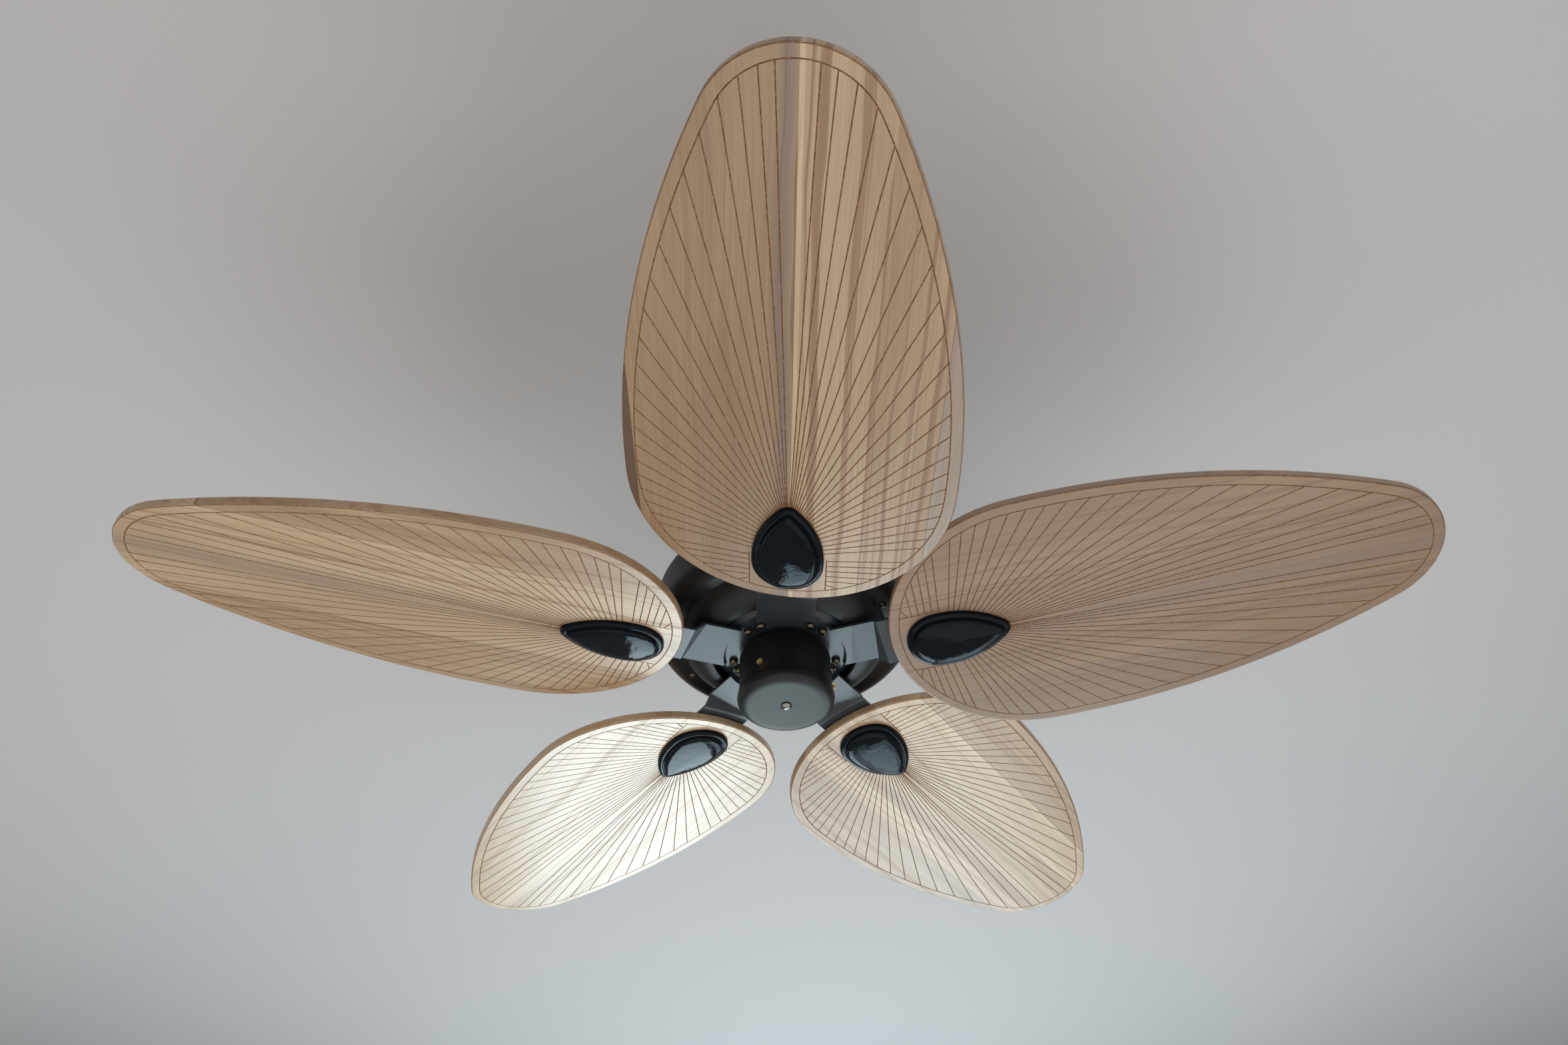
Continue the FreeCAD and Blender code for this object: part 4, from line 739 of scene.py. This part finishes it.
HEARTS = [(-0.0065, 0.0095, 1.0), (0.010, 0.020, 0.7), (0.030, 0.018, 0.35), (-0.012, 0.020, 0.25),
          (0.004, 0.026, 0.65)]
BOARD_REACH = 0.160


def wood_finish(number):
    """Satin-lacquered wood of one blade, with its own boards, laid along the blade."""
    finish = bpy.data.materials.new("leaf_wood_" + str(number + 1))
    finish.use_nodes = True
    tree = finish.node_tree
    shader = tree.nodes["Principled BSDF"]
    shader.inputs["Coat Weight"].default_value = LACQUER_WEIGHT
    shader.inputs["Coat Roughness"].default_value = LACQUER_ROUGHNESS
    place = tree.nodes.new("ShaderNodeTexCoord")
    along = tree.nodes.new("ShaderNodeMapping")
    along.vector_type = "TEXTURE"
    along.inputs["Location"].default_value = (0, 0, BLADE_LEVEL)
    along.inputs["Rotation"].default_value = (-BLADE_PITCH, 0, blade_turn(number))
    tree.links.new(place.outputs["Object"], along.inputs["Vector"])
    parts = tree.nodes.new("ShaderNodeSeparateXYZ")
    tree.links.new(along.outputs["Vector"], parts.inputs[0])
    across = tree.nodes.new("ShaderNodeMapRange")
    across.inputs["From Min"].default_value = -BOARD_REACH
    across.inputs["From Max"].default_value = BOARD_REACH
    tree.links.new(parts.outputs["Y"], across.inputs["Value"])
    # Board tones of this blade, with its painted sheen or painted shade taken in as well as the wood's
    # own tone.
    boards = tree.nodes.new("ShaderNodeValToRGB")
    boards.color_ramp.interpolation = "CONSTANT"
    left = 0.0
    for index, (limit, tone, grey, lines) in enumerate(BOARDS_WITH_PAINTED_LIGHT[number]):
        stop = boards.color_ramp.elements[0] if index == 0 else boards.color_ramp.elements.new(left)
        stop.position = left
        stop.color = (tone, grey, lines, 1)
        left = (limit + BOARD_REACH) / (2 * BOARD_REACH)
    boards.color_ramp.elements.remove(boards.color_ramp.elements[-1])
    tree.links.new(across.outputs["Result"], boards.inputs["Fac"])
    wood = tree.nodes.new("ShaderNodeGroup")
    wood.node_tree = board_wood
    for name, value in zip(("Heart Place", "Heart Width", "Heart"), HEARTS[number]):
        wood.inputs[name].default_value = value
    tree.links.new(along.outputs["Vector"], wood.inputs["Vector"])
    kinds = tree.nodes.new("ShaderNodeSeparateColor")
    tree.links.new(boards.outputs["Color"], kinds.inputs["Color"])
    for channel, name in (("Red", "Board"), ("Green", "Grey"), ("Blue", "Lines")):
        tree.links.new(kinds.outputs[channel], wood.inputs[name])
    tree.links.new(wood.outputs["Color"], shader.inputs["Base Color"])
    gloss = tree.nodes.new("ShaderNodeMapRange")
    gloss.inputs["To Min"].default_value, gloss.inputs["To Max"].default_value = WOOD_ROUGHNESS
    tree.links.new(wood.outputs["Gloss"], gloss.inputs["Value"])
    tree.links.new(gloss.outputs["Result"], shader.inputs["Roughness"])
    bump = tree.nodes.new("ShaderNodeBump")
    bump.inputs["Distance"].default_value = FIBRE_RELIEF
    tree.links.new(wood.outputs["Height"], bump.inputs["Height"])
    tree.links.new(bump.outputs["Normal"], shader.inputs["Normal"])
    return finish


def hang_copy(master, name, number):
    """Copy of a piece drawn level along X, turned to one blade's pitch and place on the fan."""
    piece = master.copy()
    piece.data = master.data.copy()
    piece.name = name
    bpy.context.scene.collection.objects.link(piece)
    piece.data.transform(Matrix.Translation((0, 0, BLADE_LEVEL))
                         @ Matrix.Rotation(blade_turn(number), 4, "Z")
                         @ Matrix.Rotation(-BLADE_PITCH, 4, "X"))
    return piece


stain = stain_finish()
board = draw_leaf("leaf_board", BLADE_ROOT, BLADE_TIP, BLADE_ROOT_R, BLADE_TIP_R, BLADE_SIDE_R)
board.data.materials.append(wood_finish(0))
board.data.materials.append(stain)
bpy.ops.mesh.edge_face_add()
bpy.ops.mesh.extrude_region_move(TRANSFORM_OT_translate={"value": (0, 0, BLADE_THICKNESS)})
bpy.ops.mesh.select_all(action="SELECT")
bpy.ops.mesh.normals_make_consistent(inside=False)
pick_edges(board, lambda a, b: abs(a.z - b.z) < LEVEL)
bpy.ops.mesh.bevel(offset=BLADE_EDGE_R, segments=EDGE_SEGMENTS, affect="EDGES")
carve_border(board)
bpy.ops.object.mode_set(mode="OBJECT")
ribs = fan_lines()
for lines in (ribs[0::2], ribs[1::2], [to_border(Vector((WINDOW_END, WINDOW_HALF)), math.pi)]):
    cut_lines(board, lines, stain)
bpy.ops.object.shade_smooth_by_angle(angle=BLADE_SMOOTH)
for number in range(BLADE_COUNT):
    blade = hang_copy(board, "carved_blade_" + str(number + 1), number)
    blade.data.materials[0] = wood_finish(number)
    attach(blade, "rotor")
    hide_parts("blade_" + str(number + 1))
bpy.data.objects.remove(board)

# Medallions: teardrops of moulded resin under the blades, lacquered piano black, with a rounded
# flange, a groove round it and a crowned middle.
DROP_ROOT = 0.1345
DROP_TIP = 0.2420
DROP_ROOT_R = 0.0348
DROP_TIP_R = 0.0105
DROP_SIDE_R = 0.090
DROP_CENTRE = (0.178, 0, 0)
DROP_STEPS = [(0.0007, 0.0012), (0.0012, 0.0007), (0.0024, 0.0004), (0.0008, 0.0000), (0.0006, -0.0010),
              (0.0007, 0.0000), (0.0005, 0.0024), (0.0007, 0.0013)]
DROP_WALL = 0.0030
DROP_SMOOTH = math.radians(60)
DROP_CROWN = [(0.94, 0.0008), (0.84, 0.0006), (0.62, 0.0006), (0.40, 0.0004)]
# Near-black with a faint blue cast and lift: painted reflection of the window, on top of the black
# lacquer's own colour.
BLACK_WITH_PAINTED_REFLECTION = (0.006, 0.0072, 0.0095, 1)
GLOSS_TINT = (0.60, 0.82, 1.0, 1)


def drop_finish():
    """Piano-black lacquer: near-black with a faint blue cast painted in for the window's reflection, and
    a cool mirror gloss that faint waves break up.
    """
    finish = coated("piano_black", BLACK_WITH_PAINTED_REFLECTION, 0.07, grain=75.0, cloud=25.0, relief=0.00035, dust=0.05,
                    spread=0.05, specular=0.10)
    finish.node_tree.nodes["Principled BSDF"].inputs["Specular Tint"].default_value = GLOSS_TINT
    return finish


drop = draw_leaf("drop", DROP_ROOT, DROP_TIP, DROP_ROOT_R, DROP_TIP_R, DROP_SIDE_R)
drop.data.materials.append(drop_finish())
bpy.ops.mesh.edge_face_add()
bpy.ops.mesh.extrude_region_move(TRANSFORM_OT_translate={"value": (0, 0, -DROP_WALL)})
bpy.ops.mesh.select_all(action="SELECT")
bpy.ops.mesh.normals_make_consistent(inside=False)
pick_faces(drop, lambda centre, normal: centre.z < -DROP_WALL / 2 - WELD)
for step, rise in DROP_STEPS:
    bpy.ops.mesh.inset(thickness=step, depth=rise)
for shrink, rise in DROP_CROWN:
    bpy.ops.mesh.extrude_region_move(TRANSFORM_OT_translate={"value": (0, 0, -rise)})
    bpy.ops.transform.resize(value=(shrink, shrink, 1), center_override=DROP_CENTRE)
bpy.ops.mesh.merge(type="CENTER")
bpy.ops.object.mode_set(mode="OBJECT")
bpy.ops.object.shade_smooth_by_angle(angle=DROP_SMOOTH)
for number in range(BLADE_COUNT):
    medallion = hang_copy(drop, "teardrop_" + str(number + 1), number)
    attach(medallion, "rotor")
    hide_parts("medallion_" + str(number + 1))
bpy.data.objects.remove(drop)

# Screws of the irons: bronze-plated pan heads with a cross recess, two through the foot of each iron
# into the motor's lower bell, each on a split lock washer.
BRONZE_COLOUR = (0.115, 0.095, 0.065, 1)
FOOT_CIRCLE_R = 0.0564
FOOT_SPREAD = math.radians(27.5)
PAN_HEAD_R = 0.0046
PAN_HEAD_RIM = 0.0009
PAN_HEAD_STEPS = [(0.0004, 0.0008), (0.0008, 0.0008), (0.0011, 0.0006), (0.0012, 0.0003)]
HEAD_SIDES = 36
HEAD_SMOOTH = math.radians(40)
FACING = 0.9
SHANK_R = 0.0024
RECESS_WIDTH = 0.0012
RECESS_ARM = 0.0019
RECESS_DEPTH = 0.0018
RECESS_TAPER = 0.55


def cross_recess(screw, lowest):
    """Sinks a cross in a screw head that looks down: a square bar with four arms is cut from it."""
    bpy.ops.object.select_all(action="DESELECT")
    bpy.ops.mesh.primitive_cube_add(size=RECESS_WIDTH, location=(0, 0, lowest))
    cross = bpy.context.object
    bpy.ops.object.transform_apply(location=True)
    bpy.ops.object.mode_set(mode="EDIT")
    bpy.ops.transform.resize(value=(1, 1, 2 * RECESS_DEPTH / RECESS_WIDTH),
                             center_override=(0, 0, lowest))
    for way in (Vector((1, 0, 0)), Vector((-1, 0, 0)), Vector((0, 1, 0)), Vector((0, -1, 0))):
        pick_faces(cross, lambda centre, normal: normal.dot(way) > FACING
                   and RECESS_WIDTH / 3 < centre.dot(way) < RECESS_WIDTH)
        bpy.ops.mesh.extrude_region_move(TRANSFORM_OT_translate={"value": way * RECESS_ARM})
    pick_faces(cross, lambda centre, normal: normal.z > FACING)
    bpy.ops.transform.resize(value=(RECESS_TAPER, RECESS_TAPER, 1), center_override=(0, 0, 0))
    bpy.ops.object.mode_set(mode="OBJECT")
    cut = screw.modifiers.new("recess", "BOOLEAN")
    cut.object = cross
    cut.solver = "EXACT"
    bpy.context.view_layer.objects.active = screw
    bpy.ops.object.modifier_apply(modifier="recess")
    bpy.data.objects.remove(cross)


def set_round(master, name, place, angles, body, node):
    """One piece of copies of a master, moved to a place and turned about the fan's axis."""
    bpy.ops.object.select_all(action="DESELECT")
    for angle in angles:
        copy = master.copy()
        copy.data = master.data.copy()
        bpy.context.scene.collection.objects.link(copy)
        copy.data.transform(Matrix.Rotation(angle, 4, "Z") @ Matrix.Translation(place))
        copy.select_set(True)
        bpy.context.view_layer.objects.active = copy
    bpy.ops.object.join()
    piece = bpy.context.object
    piece.name = name
    bpy.data.objects.remove(master)
    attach(piece, body)
    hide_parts(node)


washer_low, washer_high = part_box("iron_washers")
shank_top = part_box("iron_screws")[1].z
foot_angles = [blade_turn(number) + side * FOOT_SPREAD
               for number in range(BLADE_COUNT) for side in (-1, 1)]
bpy.ops.object.select_all(action="DESELECT")
bpy.ops.mesh.primitive_cylinder_add(vertices=HEAD_SIDES, radius=PAN_HEAD_R, depth=PAN_HEAD_RIM,
                                    location=(0, 0, -PAN_HEAD_RIM / 2))
screw = bpy.context.object
bpy.ops.object.transform_apply(location=True)
bpy.ops.object.mode_set(mode="EDIT")
pick_faces(screw, lambda centre, normal: normal.z < -FACING)
for step, rise in PAN_HEAD_STEPS:
    bpy.ops.mesh.inset(thickness=step, depth=rise)
pick_faces(screw, lambda centre, normal: normal.z > FACING)
bpy.ops.mesh.inset(thickness=PAN_HEAD_R - SHANK_R)
bpy.ops.mesh.extrude_region_move(TRANSFORM_OT_translate={"value": (0, 0, shank_top - washer_low.z)})
bpy.ops.object.mode_set(mode="OBJECT")
cross_recess(screw, -PAN_HEAD_RIM - sum(rise for step, rise in PAN_HEAD_STEPS))
bpy.ops.object.shade_smooth_by_angle(angle=HEAD_SMOOTH)
screw.data.materials.append(coated("bronze_plate", BRONZE_COLOUR, 0.3, metallic=1.0, grain=1400.0,
                                   cloud=90.0, relief=0.00002, dust=0.05))
set_round(screw, "iron_screw_set", (FOOT_CIRCLE_R, 0, washer_low.z), foot_angles, "rotor", "iron_screws")

# Lock washers under those screws: flat rings of black-oxide spring steel, each split on one side so
# that its ends bite into the head and the iron.
WASHER_R = 0.0050
WASHER_BORE_R = 0.0026
WASHER_SPLIT = math.radians(16)
WASHER_STEPS = 36

bpy.ops.object.select_all(action="DESELECT")
bpy.ops.mesh.primitive_plane_add(size=1, location=((WASHER_R + WASHER_BORE_R) / 2, 0, 0),
                                 rotation=(math.pi / 2, 0, 0))
washer = bpy.context.object
washer.scale = (WASHER_R - WASHER_BORE_R, washer_high.z - washer_low.z, 1)
bpy.ops.object.transform_apply(location=True, rotation=True, scale=True)
bpy.ops.object.mode_set(mode="EDIT")
bpy.ops.mesh.select_all(action="SELECT")
bpy.ops.mesh.spin(steps=WASHER_STEPS, angle=2 * math.pi - WASHER_SPLIT, center=(0, 0, 0), axis=(0, 0, 1))
bpy.ops.mesh.select_all(action="SELECT")
bpy.ops.mesh.remove_doubles(threshold=LEVEL)
bpy.ops.mesh.normals_make_consistent(inside=False)
bpy.ops.object.mode_set(mode="OBJECT")
washer.data.materials.append(oxide)
set_round(washer, "lock_washer_set", (FOOT_CIRCLE_R, 0, (washer_low.z + washer_high.z) / 2), foot_angles,
          "rotor", "iron_washers")

# Thumb screws: turned brass with a serrated rim and a dished face, three through the cup's side into
# the skirt of the cap.
BRASS_COLOUR = (0.55, 0.42, 0.20, 1)
THUMB_COUNT = 3
FIRST_THUMB = math.radians(-122)
THUMB_SEAT = 0.04925
THUMB_R = 0.0040
THUMB_LENGTH = 0.0030
THUMB_TEETH = 22
THUMB_TOOTH = 0.88
THUMB_SHANK_R = 0.0018
THUMB_SHANK = 0.0045
THUMB_DISH = [(0.0010, 0.0), (0.0004, -0.0010), (0.0008, 0.0004)]

thumb_low, thumb_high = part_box("cup_screws")
thumb_place = (THUMB_SEAT, 0, (thumb_low.z + thumb_high.z) / 2)
bpy.ops.object.select_all(action="DESELECT")
bpy.ops.mesh.primitive_cylinder_add(vertices=2 * THUMB_TEETH, radius=THUMB_R, depth=THUMB_LENGTH,
                                    location=(THUMB_LENGTH / 2, 0, 0), rotation=(0, math.pi / 2, 0))
thumb = bpy.context.object
bpy.ops.object.transform_apply(location=True, rotation=True)
bpy.ops.object.mode_set(mode="EDIT")
pick_edges(thumb, lambda a, b: abs(a.x - b.x) > THUMB_LENGTH / 2
           and round(math.atan2(a.y, a.z) * THUMB_TEETH / math.pi) % 2 == 1)
bpy.ops.transform.resize(value=(1, THUMB_TOOTH, THUMB_TOOTH), center_override=(0, 0, 0))
pick_faces(thumb, lambda centre, normal: normal.x > FACING)
for step, rise in THUMB_DISH:
    bpy.ops.mesh.inset(thickness=step, depth=rise)
pick_faces(thumb, lambda centre, normal: normal.x < -FACING)
bpy.ops.mesh.inset(thickness=THUMB_R * THUMB_TOOTH - THUMB_SHANK_R)
bpy.ops.mesh.extrude_region_move(TRANSFORM_OT_translate={"value": (-THUMB_SHANK, 0, 0)})
bpy.ops.object.mode_set(mode="OBJECT")
thumb.data.materials.append(coated("turned_brass", BRASS_COLOUR, 0.28, metallic=1.0, grain=1200.0,
                                   cloud=90.0, dust=0.05))
thumb_angles = [FIRST_THUMB + number * 2 * math.pi / THUMB_COUNT for number in range(THUMB_COUNT)]
set_round(thumb, "thumb_screw_set", thumb_place, thumb_angles, "fan_frame", "cup_screws")
